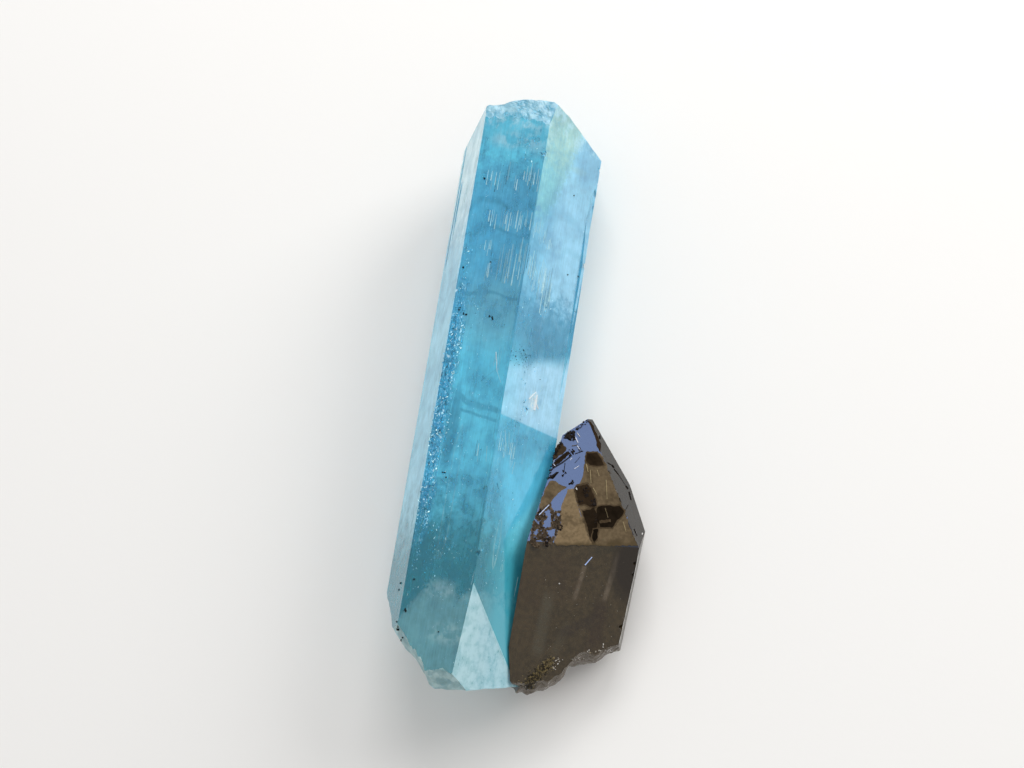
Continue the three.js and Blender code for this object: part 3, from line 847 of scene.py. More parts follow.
def aquamarine_material(settings):
    material, tree = new_material("aquamarine_beryl")
    place = places(tree)
    parts = add(tree, "ShaderNodeSeparateXYZ", {0: place}).outputs
    across, length = parts["X"], parts["Y"]
    frost = attribute(tree, "frost")
    right = attribute(tree, "on_right")
    left = attribute(tree, "on_left")
    top = attribute(tree, "on_top")
    under = attribute(tree, "under")
    grain = stretched_noise(tree, place, (2.2, 2.2, 2.2), 4.0)
    curds = stretched_noise(tree, place, (0.75, 0.65, 0.75), 5.0, 0.62)
    clouds = stretched_noise(tree, place, (0.28, 0.2, 0.28), 4.0, 0.6)
    slow = stretched_noise(tree, place, (0.22, 0.12, 0.22), 1.0, 0.4)
    fibres = stretched_noise(tree, place, (5.5, 0.22, 5.5), 4.0, 0.65)
    sparkle = stretched_noise(tree, place, (4.2, 2.0, 4.2), 4.0, 0.65)
    sway = ramp(tree, grain, 0.2, 0.8, -1.2, 1.2)
    wavy = maths(tree, "ADD", length, sway)
    lumpy = maths(tree, "ADD", wavy, ramp(tree, curds, 0.3, 0.7, -1.6, 1.6))
    drift = ramp(tree, slow, 0.3, 0.7, -1.0, 1.0)
    drifting = maths(tree, "ADD", length, drift)

    # Colour zones along the prism
    upper = blend_colour(tree, ramp(tree, lumpy, *LOWER_SKY), SKY_BLUE, UPPER_BLUE)
    upper = blend_colour(tree, ramp(tree, lumpy, *UPPER_SKY), upper, SKY_BLUE)
    zoned = blend_colour(tree, ramp(tree, lumpy, *TEAL_FADE), upper, DEEP_TEAL)
    zoned = overlaid(tree, zoned, (ramp(tree, clouds, 0.54, 0.36), 0.14, SHADE_BLUE))
    green = product(tree, top, spot(tree, place, *GREEN_CLOUD, 0.6))
    zoned = overlaid(tree, zoned, (green, 0.55, CLOUD_TEAL))

    # Arched veil over the broken end
    waver = maths(tree, "MULTIPLY", sway, 0.3)
    left_rise = maths(tree, "POWER", maths(tree, "ADD", across, 0.3), 2.0)
    right_rise = maths(tree, "POWER", maths(tree, "SUBTRACT", across, 4.6), 2.0)
    arch_left = maths(tree, "MULTIPLY_ADD", left_rise, 0.2, waver)
    arch_right = maths(tree, "MULTIPLY_ADD", right_rise, 0.3, waver)
    arch = maths(tree, "ADD", length, maths(tree, "MINIMUM", arch_left, arch_right))
    base = ramp(tree, arch, *BASE_FADE)
    veil = maths(tree, "MULTIPLY", band(tree, arch, *ARCH_BAND), ramp(tree, clouds, 0.35, 0.6))
    zoned = overlaid(tree, zoned, (base, 0.9, BASE_GREEN), (veil, 0.2, ARCH_VEIL))

    # Pale right face: haze above, a mirror patch of painted reflection in the middle, a smudge and a stain
    pale = product(tree, right, ramp(tree, lumpy, *PALE_START), ramp(tree, across, 4.2, 6.8, 0.45, 1.0))
    mirror_low = ramp(tree, along(tree, place, (0.14, 1.0, 0.0)), -1.75, -1.45)
    mirror_edge = maths(tree, "MULTIPLY_ADD", drift, 0.25, along(tree, place, (-0.6, 1.0, 0.0)))
    mirror_high = ramp(tree, mirror_edge, 3.3, 1.2)
    mirror = product(tree, mirror_low, mirror_high, right, ramp(tree, across, 3.8, 6.4, 0.75, 1.0))
    smudge = product(tree, right, spot(tree, place, *SMUDGE, 0.6))
    stain_edge = raised(tree, along(tree, place, (1.0, -0.175, 0.0)), sway, 0.5)
    stain = product(
        tree,
        right,
        ramp(tree, stain_edge, 1.0, 0.0),
        ramp(tree, lumpy, *STAIN_START),
        ramp(tree, grain, 0.25, 0.55, 0.6, 1.0),
    )
    stain_colour = blend_colour(tree, ramp(tree, lumpy, *STAIN_FADE), STAIN_TEAL, STAIN_GREEN)
    zoned = overlaid(
        tree,
        zoned,
        (pale, 0.72, PALE_BLUE),
        (smudge, 0.7, SMUDGE_BLUE),
        (mirror, 1.0, PALE_BLUE),
        (stain, 0.9, stain_colour),
    )
    left_tint = blend_colour(tree, ramp(tree, lumpy, *LEFT_TEAL_FADE), LEFT_TEAL, ICE)
    left_tint = blend_colour(tree, ramp(tree, lumpy, *LEFT_PALE_FADE), left_tint, PALE_ICE)
    icy = maths(tree, "MULTIPLY", left, ramp(tree, clouds, 0.3, 0.7, 0.75, 1.0))
    zoned = blend_colour(tree, icy, zoned, left_tint)

    # Small pale veils: under the finished end, over the broken end, on the right face
    for centre, reach, share, tint in SMALL_VEILS:
        patch = product(tree, spot(tree, place, centre, reach, 0.5), ramp(tree, curds, 0.40, 0.56))
        zoned = overlaid(tree, zoned, (patch, share, tint))
    # A painted glint in the mirror patch of the right face
    flash = product(tree, spot(tree, place, *MIRROR_GLINT, 0.5), ramp(tree, sparkle, 0.40, 0.56))
    zoned = blend_colour(tree, flash, zoned, GLINT)

    # Cross partings, a slanting veil and the dark strip beside the glitter
    partings = highest(tree, *(band(tree, drifting, *parting) for parting in PARTINGS))
    partings = product(
        tree, partings, ramp(tree, curds, 0.36, 0.58, 0.2, 1.0), ramp(tree, top, 0.0, 1.0, 0.35, 1.0)
    )
    slant_place = maths(tree, "MULTIPLY_ADD", drift, 0.5, along(tree, place, (0.31, 1.0, 0.0)))
    slant = highest(tree, *(band(tree, slant_place, *veil) for veil in SLANT_VEILS))
    slant = product(tree, top, slant, ramp(tree, curds, 0.36, 0.58, 0.4, 1.0))
    strip = product(tree, top, spot(tree, place, *DARK_STRIP, 0.4))
    shades = ((slant, 0.55), (strip, 0.7), (partings, 0.6))
    shade = highest(tree, *(maths(tree, "MULTIPLY", mask, share) for mask, share in shades))
    zoned = blend_colour(tree, shade, zoned, SHADE_BLUE)

    # Glitter along the left edge of the top face; its glints, and the scattered glints over the rest of the
    # crystal, are painted highlights
    edge_side = raised(tree, across, sway, 0.4)
    glitter = product(
        tree,
        top,
        ramp(tree, edge_side, *GLITTER_SIDE),
        ramp(tree, lumpy, *GLITTER_TOP),
        ramp(tree, lumpy, *GLITTER_BOTTOM),
    )
    dark_grains = product(tree, glitter, ramp(tree, sparkle, 0.47, 0.40))
    edge_glints = product(tree, glitter, ramp(tree, sparkle, 0.57, 0.66))
    glints = highest(tree, edge_glints, ramp(tree, sparkle, 0.69, 0.73))
    zoned = overlaid(
        tree, zoned, (glitter, 0.7, GLITTER_BLUE), (dark_grains, 0.75, GLITTER_DARK), (glints, 0.65, GLINT)
    )

    # Right face: the dark upper corner, and the stretch that the quartz shades, where painted light cancels
    # the quartz's cast shadow: the shaded stretch is painted lighter, lightest at the contact, and the open
    # stretch beside it darker
    corner = product(tree, right, spot(tree, place, *DARK_CORNER, 0.4))
    beside = product(tree, right, ramp(tree, length, *BESIDE_START), ramp(tree, across, *BESIDE_SIDE))
    shade_slope = maths(tree, "MULTIPLY", maths(tree, "ADD", length, 17.7), 0.38)
    shade_side = maths(tree, "SUBTRACT", across, maths(tree, "MAXIMUM", shade_slope, 0.0))
    shade_reach = ramp(tree, length, *SHADED_START)
    shaded_side = product(tree, right, ramp(tree, shade_side, *SHADED_SIDE), shade_reach)
    deeper = ramp(tree, length, *DEEPER_FADE)
    open_tint = blend_colour(tree, deeper, OPEN_BLUE, OPEN_TEAL)
    shaded_tint = blend_colour(tree, ramp(tree, across, *CONTACT_SIDE), SHADED_BLUE, CONTACT_BLUE)
    shaded_tint = blend_colour(tree, deeper, shaded_tint, SHADED_TEAL)
    beside_tint = blend_colour(tree, shaded_side, open_tint, shaded_tint)
    lower_right = product(tree, right, band(tree, length, *LOWER_RIGHT_BAND))
    end_haze = maths(tree, "MULTIPLY", ramp(tree, lumpy, *END_HAZE), ramp(tree, curds, 0.36, 0.62))
    zoned = overlaid(
        tree,
        zoned,
        (corner, 0.6, CORNER_BLUE),
        (beside, 0.8, beside_tint),
        (lower_right, 0.5, LOWER_BLUE),
        (end_haze, 0.75, END_WHITE),
        (under, 1.0, UNDER_BLUE),
    )

    # How much of each face is veiled rather than clear
    veiled = ramp(tree, clouds, 0.3, 0.7, 0.33, 0.50)
    veiled = maths(tree, "ADD", veiled, ramp(tree, fibres, 0.25, 0.75, -0.06, 0.06))
    veiled = maths(tree, "ADD", veiled, ramp(tree, curds, 0.3, 0.7, -0.06, 0.06))
    strongest = highest(tree, pale, mirror, stain, base)
    for mask, share in ((glints, 0.3), (strongest, 0.17), (icy, 0.38), (beside, 0.5)):
        veiled = raised(tree, veiled, mask, share)
    veiled = highest(tree, veiled, maths(tree, "MULTIPLY", end_haze, 0.6))
    beneath = maths(tree, "MULTIPLY", under, ramp(tree, clouds, 0.3, 0.65, 0.25, 0.44))
    veiled = blend_value(tree, under, veiled, beneath)

    # Rough ends and the chip
    patches = ramp(tree, curds, 0.35, 0.65, 0.8, 1.0)
    patches = maths(tree, "ADD", patches, ramp(tree, fibres, 0.3, 0.7, -0.06, 0.06))
    patchy = maths(tree, "MULTIPLY", frost, patches, clamp=True)
    chip = attribute(tree, "chip")
    veiled = maths(tree, "MAXIMUM", veiled, maths(tree, "MULTIPLY", patchy, 0.8), clamp=True)
    veiled = blend_value(tree, chip, veiled, 0.85)
    breaks = blend_colour(tree, ramp(tree, curds, 0.42, 0.62), BREAK_GREEN, BREAK_PALE)
    chipped = blend_colour(tree, ramp(tree, curds, 0.58, 0.38, 0.0, 0.8), CHIP_WHITE, CHIP_SHADE)
    breaks = blend_colour(tree, chip, breaks, chipped)
    etched = blend_colour(tree, ramp(tree, curds, 0.42, 0.64), ETCH_BLUE, ETCH_PALE)
    ends = blend_colour(tree, ramp(tree, length, -20.0, 20.0), breaks, etched)
    colour = blend_colour(tree, maths(tree, "MULTIPLY", patchy, 0.9, clamp=True), zoned, ends)

    streaks = stretched_noise(tree, place, (3.0, 0.06, 3.0), 3.0, 0.6)
    clear_share = maths(tree, "SUBTRACT", 1.0, frost)
    bump = add(
        tree,
        "ShaderNodeBump",
        {
            "Strength": maths(tree, "MULTIPLY", clear_share, STRIATION_STRENGTH),
            "Distance": STRIATION_DEPTH,
            "Height": streaks,
        },
    )
    roughness = blend_value(tree, patchy, attribute(tree, "dull"), FROSTED_ROUGHNESS)
    clear_crystal(tree, settings, colour, roughness, veiled, bump)
    return material


def streak(tree, place, first, second, facing, half):
    """One along a soft stripe on a face between two places."""
    span = second - first
    ahead = span.normalized()
    aside = ahead.cross(facing).normalized()
    width = band(tree, along(tree, place, aside), aside.dot(first), 0.3 * half, half)
    length = band(tree, along(tree, place, ahead), ahead.dot((first + second) / 2), span.length / 2, 2 * half)
    return maths(tree, "MULTIPLY", width, length)


def quartz_material(settings, streaks_seen):
    material, tree = new_material("smoky_quartz_glass")
    place = places(tree)
    frost = attribute(tree, "frost")
    matt = attribute(tree, "matt")
    dim = attribute(tree, "dim")
    tip = attribute(tree, "tip")
    contact = attribute(tree, "contact")
    grain = stretched_noise(tree, place, (1.6, 1.6, 1.6), 5.0, 0.6)
    streaks = stretched_noise(tree, place, (0.5, 4.0, 0.5), 3.0, 0.6)
    smoke = stretched_noise(tree, place, (0.22, 0.12, 0.22), 4.0, 0.6)

    dull = maths(tree, "MULTIPLY", matt, ramp(tree, grain, 0.35, 0.6, 0.75, 1.0))
    roughness = blend_value(tree, dull, GLOSSY_ROUGHNESS, MATT_ROUGHNESS)
    roughness = blend_value(tree, frost, roughness, BREAK_ROUGHNESS)

    deep = spot(tree, place, *SMOKE_HEART, 0.35)
    hazy = ramp(tree, smoke, 0.35, 0.7, 0.44, 0.56)
    hazy = maths(tree, "ADD", hazy, ramp(tree, streaks, 0.5, 0.8, 0.0, 0.06))
    for mask, share in ((deep, 0.9), (dim, 0.8), (tip, 0.9)):
        hazy = highest(tree, hazy, maths(tree, "MULTIPLY", mask, share))
    hazy = blend_value(tree, frost, hazy, 0.45)
    clear = blend_colour(tree, ramp(tree, grain, 0.35, 0.7), SMOKE_CLEAR, SMOKE_TINTED)
    veil = blend_colour(tree, ramp(tree, grain, 0.35, 0.65), SMOKE_PALE, SMOKE_BROWN)
    uneven = ramp(tree, grain, 0.3, 0.65, 0.3, 0.8)
    for first, second, half, tint in streaks_seen:
        stripe = streak(tree, place, first, second, QUARTZ_FACE_NORMAL, half)
        veil = blend_colour(tree, maths(tree, "MULTIPLY", stripe, uneven), veil, (*tint, 1))
    veil = overlaid(
        tree,
        veil,
        (ramp(tree, smoke, 0.5, 0.7, 0.0, 0.5), 1.0, SMOKE_RED),
        (deep, 1.0, SMOKE_DEEP),
        (dim, 1.0, OUTER_FACET),
        (tip, 1.0, TIP_DARK),
        (frost, 1.0, BREAK_BROWN),
    )
    colour = blend_colour(tree, ramp(tree, hazy, 0.0, 0.3), clear, veil)
    colour = blend_colour(tree, contact, colour, CONTACT_BROWN)
    veiled = blend_value(tree, contact, hazy, 0.75)
    bump = add(
        tree,
        "ShaderNodeBump",
        {"Strength": 0.008, "Distance": 0.0001, "Height": blend_value(tree, 0.5, streaks, grain)},
    )
    clear_crystal(tree, settings, colour, roughness, veiled, bump)
    return material


def refined_copy(node, zone_of, rough_zones, flat_zone, longest, relief, wander=0.0, passes=6):
    """A merged copy of a solid, with its rough faces divided and given a fine relief."""
    bm = bmesh.new()
    bm.from_mesh(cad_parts[node].data)
    bmesh.ops.remove_doubles(bm, verts=bm.verts, dist=MERGE_REACH)
    bm.normal_update()
    zone = bm.faces.layers.int.new("zone")
    for face in bm.faces:
        face[zone] = zone_of(face.normal, face.calc_center_median() / MM)
    for _ in range(passes):
        edges = {
            edge
            for face in bm.faces
            if face[zone] in rough_zones
            for edge in face.edges
            if edge.calc_length() > longest
        }
        if not edges:
            break
        bmesh.ops.subdivide_edges(bm, edges=list(edges), cuts=1)
        bmesh.ops.triangulate(bm, faces=[face for face in bm.faces if len(face.verts) > 3])
    bm.normal_update()
    moved = []
    for vertex in bm.verts:
        if not any(face[zone] in rough_zones for face in vertex.link_faces):
            continue
        point = vertex.co / MM
        lumps = sum(height * noise.noise(point * pitch + offset) for pitch, height, offset in LUMPS)
        shift = vertex.normal * relief * lumps
        flat = [face for face in vertex.link_faces if face[zone] == flat_zone]
        for face in flat:
            shift -= face.normal * shift.dot(face.normal)
        if flat and min(face.normal.z for face in flat) > 0.99:
            shift.y += wander * (noise.noise(point * 0.9) + 0.6 * noise.noise(point * 2.3))
        moved.append((vertex, vertex.co + shift))
    for vertex, target in moved:
        target.z = max(target.z, 0.0)
        vertex.co = target
    mesh = bpy.data.meshes.new(node + "_crystal")
    bm.to_mesh(mesh)
    bm.free()
    return mesh


def soften_ledges(mesh, facings, soft_faces, share):
    """Brings the corners of shallow ledges most of the way back to the flat faces they lie in."""
    pairs = list(zip(mesh.polygons, soft_faces))
    held = {corner for face, soft in pairs if soft is None for corner in face.vertices}
    loose = {corner for face, soft in pairs if soft for corner in face.vertices}
    for facing in facings:
        areas = {}
        for face in mesh.polygons:
            if face.normal.dot(facing) > FLAT_MATCH:
                level = round(face.center.dot(facing) / MM, 2)
                areas[level] = areas.get(level, 0.0) + face.area
        main = max(areas, key=areas.get) * MM
        for index in loose - held:
            vertex = mesh.vertices[index]
            gap = main - vertex.co.dot(facing)
            if abs(gap) < LEDGE_REACH:
                vertex.co += facing * gap * share
    mesh.update()


def round_end(mesh):
    """Swells the middle of the finished end along the prism and draws back its corner."""
    for vertex in mesh.vertices:
        x, y, _ = vertex.co / MM
        share = min(max((y - END_START) / (END_FULL - END_START), 0.0), 1.0)
        for middle, width, rise in END_SWELLS:
            vertex.co.y += share * rise * MM * math.exp(-(((x - middle) / width) ** 2))
    mesh.update()


def piece(name, mesh, material, replaced=None):
    """A finished piece of the object that rides on its body."""
    obj = bpy.data.objects.new(name, mesh)
    bpy.context.scene.collection.objects.link(obj)
    if not mesh.materials:
        mesh.materials.append(material)
    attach(obj, BODY)
    if replaced:
        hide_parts(replaced)
    return obj


def face_values(mesh, name, values):
    mesh.attributes.new(name, "FLOAT", "FACE").data.foreach_set("value", [float(value) for value in values])


PRISM, BROKEN, ETCHED, CHIP, LEDGE = range(5)
FROST = {PRISM: 0.0, BROKEN: 0.9, ETCHED: 0.75, CHIP: 0.75, LEDGE: 0.2}


def aquamarine_zone(normal, centre):
    if max(normal.dot(facing) for facing in PRISM_NORMALS) > FLAT_MATCH:
        return PRISM
    if centre.y < CHIP_TOP and normal.dot(RIGHT_FACE_NORMAL) > FACE_MATCH:
        return CHIP
    shallow = TOP_FACE_HEIGHT - centre.z < LEDGE_REACH / MM and centre.y > GROOVE_END
    if centre.y < BREAK_TOP and not shallow:
        return BROKEN
    if centre.y > ETCH_START:
        return ETCHED
    return LEDGE


TIP, SIDE, FRACTURE = range(3)


def quartz_zone(normal, centre):
    if normal.dot(TIP_NORMAL) > TIP_MATCH:
        return TIP
    shallow = QUARTZ_FACE_LEVEL - centre.dot(QUARTZ_FACE_NORMAL) < QUARTZ_LEDGE_DEPTH
    if centre.y < QUARTZ_BREAK_TOP and normal.dot(QUARTZ_ALONG) < BREAK_FACING and not shallow:
        return FRACTURE
    return SIDE


class CRYSTAL_OT_aquamarine(bpy.types.Operator):
    """Dress the aquamarine prism"""

    bl_idname = "crystal.aquamarine"
    bl_label = "Aquamarine"

    def execute(self, context):
        settings = context.scene.crystal_aquamarine
        mesh = refined_copy(
            "aquamarine",
            aquamarine_zone,
            (BROKEN, ETCHED),
            PRISM,
            ROUGH_EDGE,
            settings.end_relief,
            settings.border_wander,
        )
        zones = [item.value for item in mesh.attributes["zone"].data]
        softness = {PRISM: False, LEDGE: True, BROKEN: None, ETCHED: None, CHIP: None}
        soften_ledges(mesh, PRISM_NORMALS, [softness[zone] for zone in zones], settings.ledge_softness)
        round_end(mesh)
        face_values(mesh, "frost", [FROST[zone] for zone in zones])
        face_values(mesh, "chip", [zone == CHIP for zone in zones])
        normals = [face.normal.copy() for face in mesh.polygons]
        under = [normal.z < UNDERSIDE for normal in normals]
        face_values(mesh, "dull", [UNDER_ROUGHNESS if hidden else FACE_ROUGHNESS for hidden in under])
        face_values(mesh, "under", under)
        for name, facing in (
            ("on_top", Vector((0, 0, 1))),
            ("on_right", RIGHT_FACE_NORMAL),
            ("on_left", LEFT_FACE_NORMAL),
        ):
            face_values(mesh, name, [normal.dot(facing) > FACE_MATCH for normal in normals])
        mesh.attributes.remove(mesh.attributes["zone"])
        piece("aquamarine_crystal", mesh, aquamarine_material(settings), "aquamarine")
        return {"FINISHED"}


class CRYSTAL_OT_quartz(bpy.types.Operator):
    """Dress the smoky quartz"""

    bl_idname = "crystal.quartz"
    bl_label = "Smoky quartz"

    def execute(self, context):
        settings = context.scene.crystal_quartz
        mesh = refined_copy(
            "smoky_quartz", quartz_zone, (FRACTURE,), SIDE, ROUGH_EDGE, settings.break_relief
        )
        zones = [item.value for item in mesh.attributes["zone"].data]
        walls = [
            None if zone == FRACTURE else face.normal.dot(QUARTZ_FACE_NORMAL) < FLAT_MATCH
            for face, zone in zip(mesh.polygons, zones)
        ]
        soften_ledges(mesh, (QUARTZ_FACE_NORMAL,), walls, settings.ledge_softness)
        normals = [face.normal.copy() for face in mesh.polygons]
        face_values(mesh, "frost", [zone == FRACTURE for zone in zones])
        face_values(mesh, "dim", [normal.dot(OUTER_TIP_NORMAL) > OUTER_TIP_MATCH for normal in normals])
        face_values(mesh, "tip", [normal.dot(TIP_NORMAL) > TIP_MATCH for normal in normals])
        face_values(mesh, "matt", [normal.z < STEEP_FACE for normal in normals])
        face_values(mesh, "contact", [normal.dot(QUARTZ_SIDE) < CONTACT_FACING for normal in normals])
        mesh.attributes.remove(mesh.attributes["zone"])
        solid = solid_tree("smoky_quartz")
        stripes = [
            (seen_at(solid, *start)[0], seen_at(solid, *end)[0], half, tint)
            for start, end, half, tint in BODY_STREAKS
        ]
        material = quartz_material(settings, stripes)
        piece("smoky_quartz_crystal", mesh, material, "smoky_quartz")
        return {"FINISHED"}


def scatter_tree(name, material, sides, taper):
    """A tree that sets one small tapered prism on every point, with the point's own size and turn."""
    tree = bpy.data.node_groups.new(name, "GeometryNodeTree")
    sockets = tree.interface
    sockets.new_socket("Places", in_out="INPUT", socket_type="NodeSocketGeometry")
    sides_socket = sockets.new_socket("Sides", in_out="INPUT", socket_type="NodeSocketInt")
    taper_socket = sockets.new_socket("Taper", in_out="INPUT", socket_type="NodeSocketFloat")
    sockets.new_socket("Grains", in_out="OUTPUT", socket_type="NodeSocketGeometry")
    entry = add(tree, "NodeGroupInput")
    grain = add(
        tree,
        "GeometryNodeMeshCone",
        {
            "Vertices": entry.outputs["Sides"],
            "Radius Top": entry.outputs["Taper"],
            "Radius Bottom": 1.0,
            "Depth": 1.0,
        },
    )
    size = add(tree, "GeometryNodeInputNamedAttribute", {"Name": "size"}, data_type="FLOAT_VECTOR")
    turn = add(tree, "GeometryNodeInputNamedAttribute", {"Name": "turn"}, data_type="FLOAT_VECTOR")
    placed = add(
        tree,
        "GeometryNodeInstanceOnPoints",
        {
            "Points": entry.outputs["Places"],
            "Instance": grain.outputs["Mesh"],
            "Rotation": turn.outputs["Attribute"],
            "Scale": size.outputs["Attribute"],
        },
    )
    real = add(tree, "GeometryNodeRealizeInstances", {0: placed.outputs[0]})
    coloured = add(
        tree, "GeometryNodeSetMaterial", {"Geometry": real.outputs[0], "Material": material}
    )
    leave = add(tree, "NodeGroupOutput")
    tree.links.new(coloured.outputs[0], leave.inputs["Grains"])
    return tree, {sides_socket.identifier: sides, taper_socket.identifier: taper}


def scattered(name, grains, material, sides=6, taper=0.6):
    """A piece of many small grains, each a place and a size in millimetres, a turn and a tone."""
    mesh = bpy.data.meshes.new(name + "_places")
    mesh.from_pydata([grain[0] * MM for grain in grains], [], [])
    for key, index, scale in (("size", 1, MM), ("turn", 2, 1.0)):
        values = [value * scale for grain in grains for value in grain[index]]
        mesh.attributes.new(key, "FLOAT_VECTOR", "POINT").data.foreach_set("vector", values)
    tones = mesh.attributes.new("tone", "FLOAT", "POINT")
    tones.data.foreach_set("value", [grain[3] for grain in grains])
    carrier = bpy.data.objects.new(name + "_places", mesh)
    bpy.context.scene.collection.objects.link(carrier)
    modifier = carrier.modifiers.new("scatter", "NODES")
    tree, inputs = scatter_tree(name + "_scatter", material, sides, taper)
    modifier.node_group = tree
    for identifier, value in inputs.items():
        modifier[identifier] = value
    depsgraph = bpy.context.evaluated_depsgraph_get()
    result = bpy.data.meshes.new_from_object(carrier.evaluated_get(depsgraph))
    result.name = name
    bpy.data.objects.remove(carrier)
    bpy.data.meshes.remove(mesh)
    return piece(name, result, material)


def top_place(x, y, depth):
    """A place under the top face."""
    return Vector((x, y, TOP_FACE_HEIGHT - depth))


def right_place(down, y, depth):
    """A place under the right face, measured down from its upper edge."""
    point = RIGHT_FACE_POINT + RIGHT_FACE_DOWN * down - RIGHT_FACE_NORMAL * depth
    return Vector((point.x, y, point.z))


def tip_turn(spin):
    """The turn that lays a grain on the main face of the quartz tip."""
    lay = Matrix((TIP_SIDE, TIP_NORMAL.cross(TIP_SIDE), TIP_NORMAL)).transposed()
    return tuple((lay @ Matrix.Rotation(spin, 3, "Z")).to_euler())


def inclusion_material(name, tones, roughness, alpha=1.0, specular=0.2, shoulder=None):
    """A material whose colour follows each grain's own tone, from the first colour to the last."""
    material, tree = new_material(name)
    place = places(tree)
    mottle = stretched_noise(tree, place, (2.5, 2.5, 2.5), 3.0)
    tone = attribute(tree, "tone")
    colour = (*tones[0], 1)
    for step, following in enumerate(tones[1:]):
        reached = maths(tree, "SUBTRACT", tone, float(step), clamp=True)
        colour = blend_colour(tree, reached, colour, (*following, 1))
    shaded = overlaid(tree, colour, (ramp(tree, mottle, 0.3, 0.7), 0.25, BLACK))
    # A shoulder darkens the colour towards a line: painted shade on the golden reflection plates of the
    # quartz tip
    if shoulder:
        direction, level, reach, tint = shoulder
        broad = stretched_noise(tree, place, (0.6, 0.6, 0.6), 3.0)
        wavy = maths(tree, "ADD", along(tree, place, direction), ramp(tree, broad, 0.3, 0.7, -0.3, 0.3))
        shaded = blend_colour(tree, ramp(tree, broad, 0.45, 0.75, 0.0, 0.4), shaded, BLACK)
        shaded = blend_colour(tree, ramp(tree, wavy, level - reach, level, 0.0, 0.9), shaded, (*tint, 1))
    surface = add(
        tree,
        "ShaderNodeBsdfPrincipled",
        {
            "Base Color": shaded,
            "Roughness": roughness,
            "Specular IOR Level": specular,
            "Alpha": alpha,
        },
    )
    add(tree, "ShaderNodeOutputMaterial", {"Surface": surface.outputs[0]})
    return material


def solid_tree(node):
    """A search tree over one of the plain solids."""
    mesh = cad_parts[node].data
    return BVHTree.FromPolygons(
        [vertex.co.copy() for vertex in mesh.vertices], [tuple(face.vertices) for face in mesh.polygons]
    )


def sight(column, row):
    """The direction in which the camera sees a place in its picture."""
    reach = CAMERA_LENS / SENSOR_WIDTH * PICTURE_WIDTH
    aim = (
        CAMERA_RIGHT * (column - PICTURE_WIDTH / 2) / reach
        + CAMERA_UP * (PICTURE_HEIGHT / 2 - row) / reach
        - CAMERA_BACK
    )
    return aim.normalized()


def seen_at(solid, column, row):
    """Where the camera's ray through a place in its picture meets a solid, in millimetres."""
    place, normal, _, _ = solid.ray_cast(CAMERA_PLACE * MM, sight(column, row))
    return None if place is None else (place / MM, normal)


def on_tip(column, row, lift=0.0):
    """The place over the main face of the quartz tip that the camera sees at a place in its picture."""
    aim = sight(column, row)
    reach = (TIP_POINT - CAMERA_PLACE).dot(TIP_NORMAL) / aim.dot(TIP_NORMAL)
    return CAMERA_PLACE + aim * reach + TIP_NORMAL * lift


def inside(outline, column, row):
    """Whether a place in the picture lies inside an outline."""
    odd = False
    for (column_a, row_a), (column_b, row_b) in zip(outline, outline[1:] + outline[:1]):
        if (row_a > row) != (row_b > row):
            crossing = column_a + (row - row_a) * (column_b - column_a) / (row_b - row_a)
            odd ^= column < crossing
    return odd


def place_in(outline, holes, draw):
    """A place in the picture inside an outline and outside its holes."""
    columns, rows = zip(*outline)
    while True:
        column = draw.uniform(min(columns), max(columns))
        row = draw.uniform(min(rows), max(rows))
        if inside(outline, column, row) and not any(inside(hole, column, row) for hole in holes):
            return column, row


def needle(solid, start, end, thick, tone, lift=0.0):
    """A long grain on a face, between two places in the camera's picture."""
    first, normal = seen_at(solid, *start)
    second, _ = seen_at(solid, *end)
    span = second - first
    turn = tuple(span.to_track_quat("Z", "Y").to_euler())
    return first + normal * lift, (thick, thick, span.length), turn, tone


ALONG_PRISM = (-math.pi / 2, 0.0)


class CRYSTAL_OT_growth_tubes(bpy.types.Operator):
    """Grow the bundles of hollow tubes that run along the aquamarine, the darkest of them painted shade lines
    beside the bright ones
    """

    bl_idname = "crystal.growth_tubes"
    bl_label = "Growth tubes"

    def execute(self, context):
        draw = random.Random(TUBE_SEED)
        tubes = []

        def tube(place, length, tones):
            thick = TUBE_THIN + TUBE_SPREAD * draw.random() ** 2
            tone = draw.choice(tones)
            lean = (*ALONG_PRISM, draw.gauss(0.0, TUBE_LEAN))
            tubes.append((place, (thick, thick, length), lean, tone))

        for clusters, put, tones in (
            (TOP_TUBE_CLUSTERS, top_place, TOP_TUBE_SHADES),
            (RIGHT_TUBE_CLUSTERS, right_place, RIGHT_TUBE_SHADES),
        ):
            for first, count, low, high in clusters:
                aside = first
                for _ in range(count + 1):
                    start = low + (high - low) * 0.4 * draw.random()
                    end = high - (high - low) * 0.4 * draw.random()
                    tube(put(aside, start, draw.choice(TUBE_DEPTHS)), end - start, tones)
                    aside += draw.uniform(*TUBE_SPACING)
        solid = solid_tree("aquamarine")
        tubes += [needle(solid, *values) for values in AQUAMARINE_THREADS_AND_HIGHLIGHT]
        material = inclusion_material("tube_white_and_shade", TUBE_TONES, 0.35, alpha=0.55)
        scattered("growth_tubes_and_shade_lines", tubes, material, 5, 0.5)
        return {"FINISHED"}


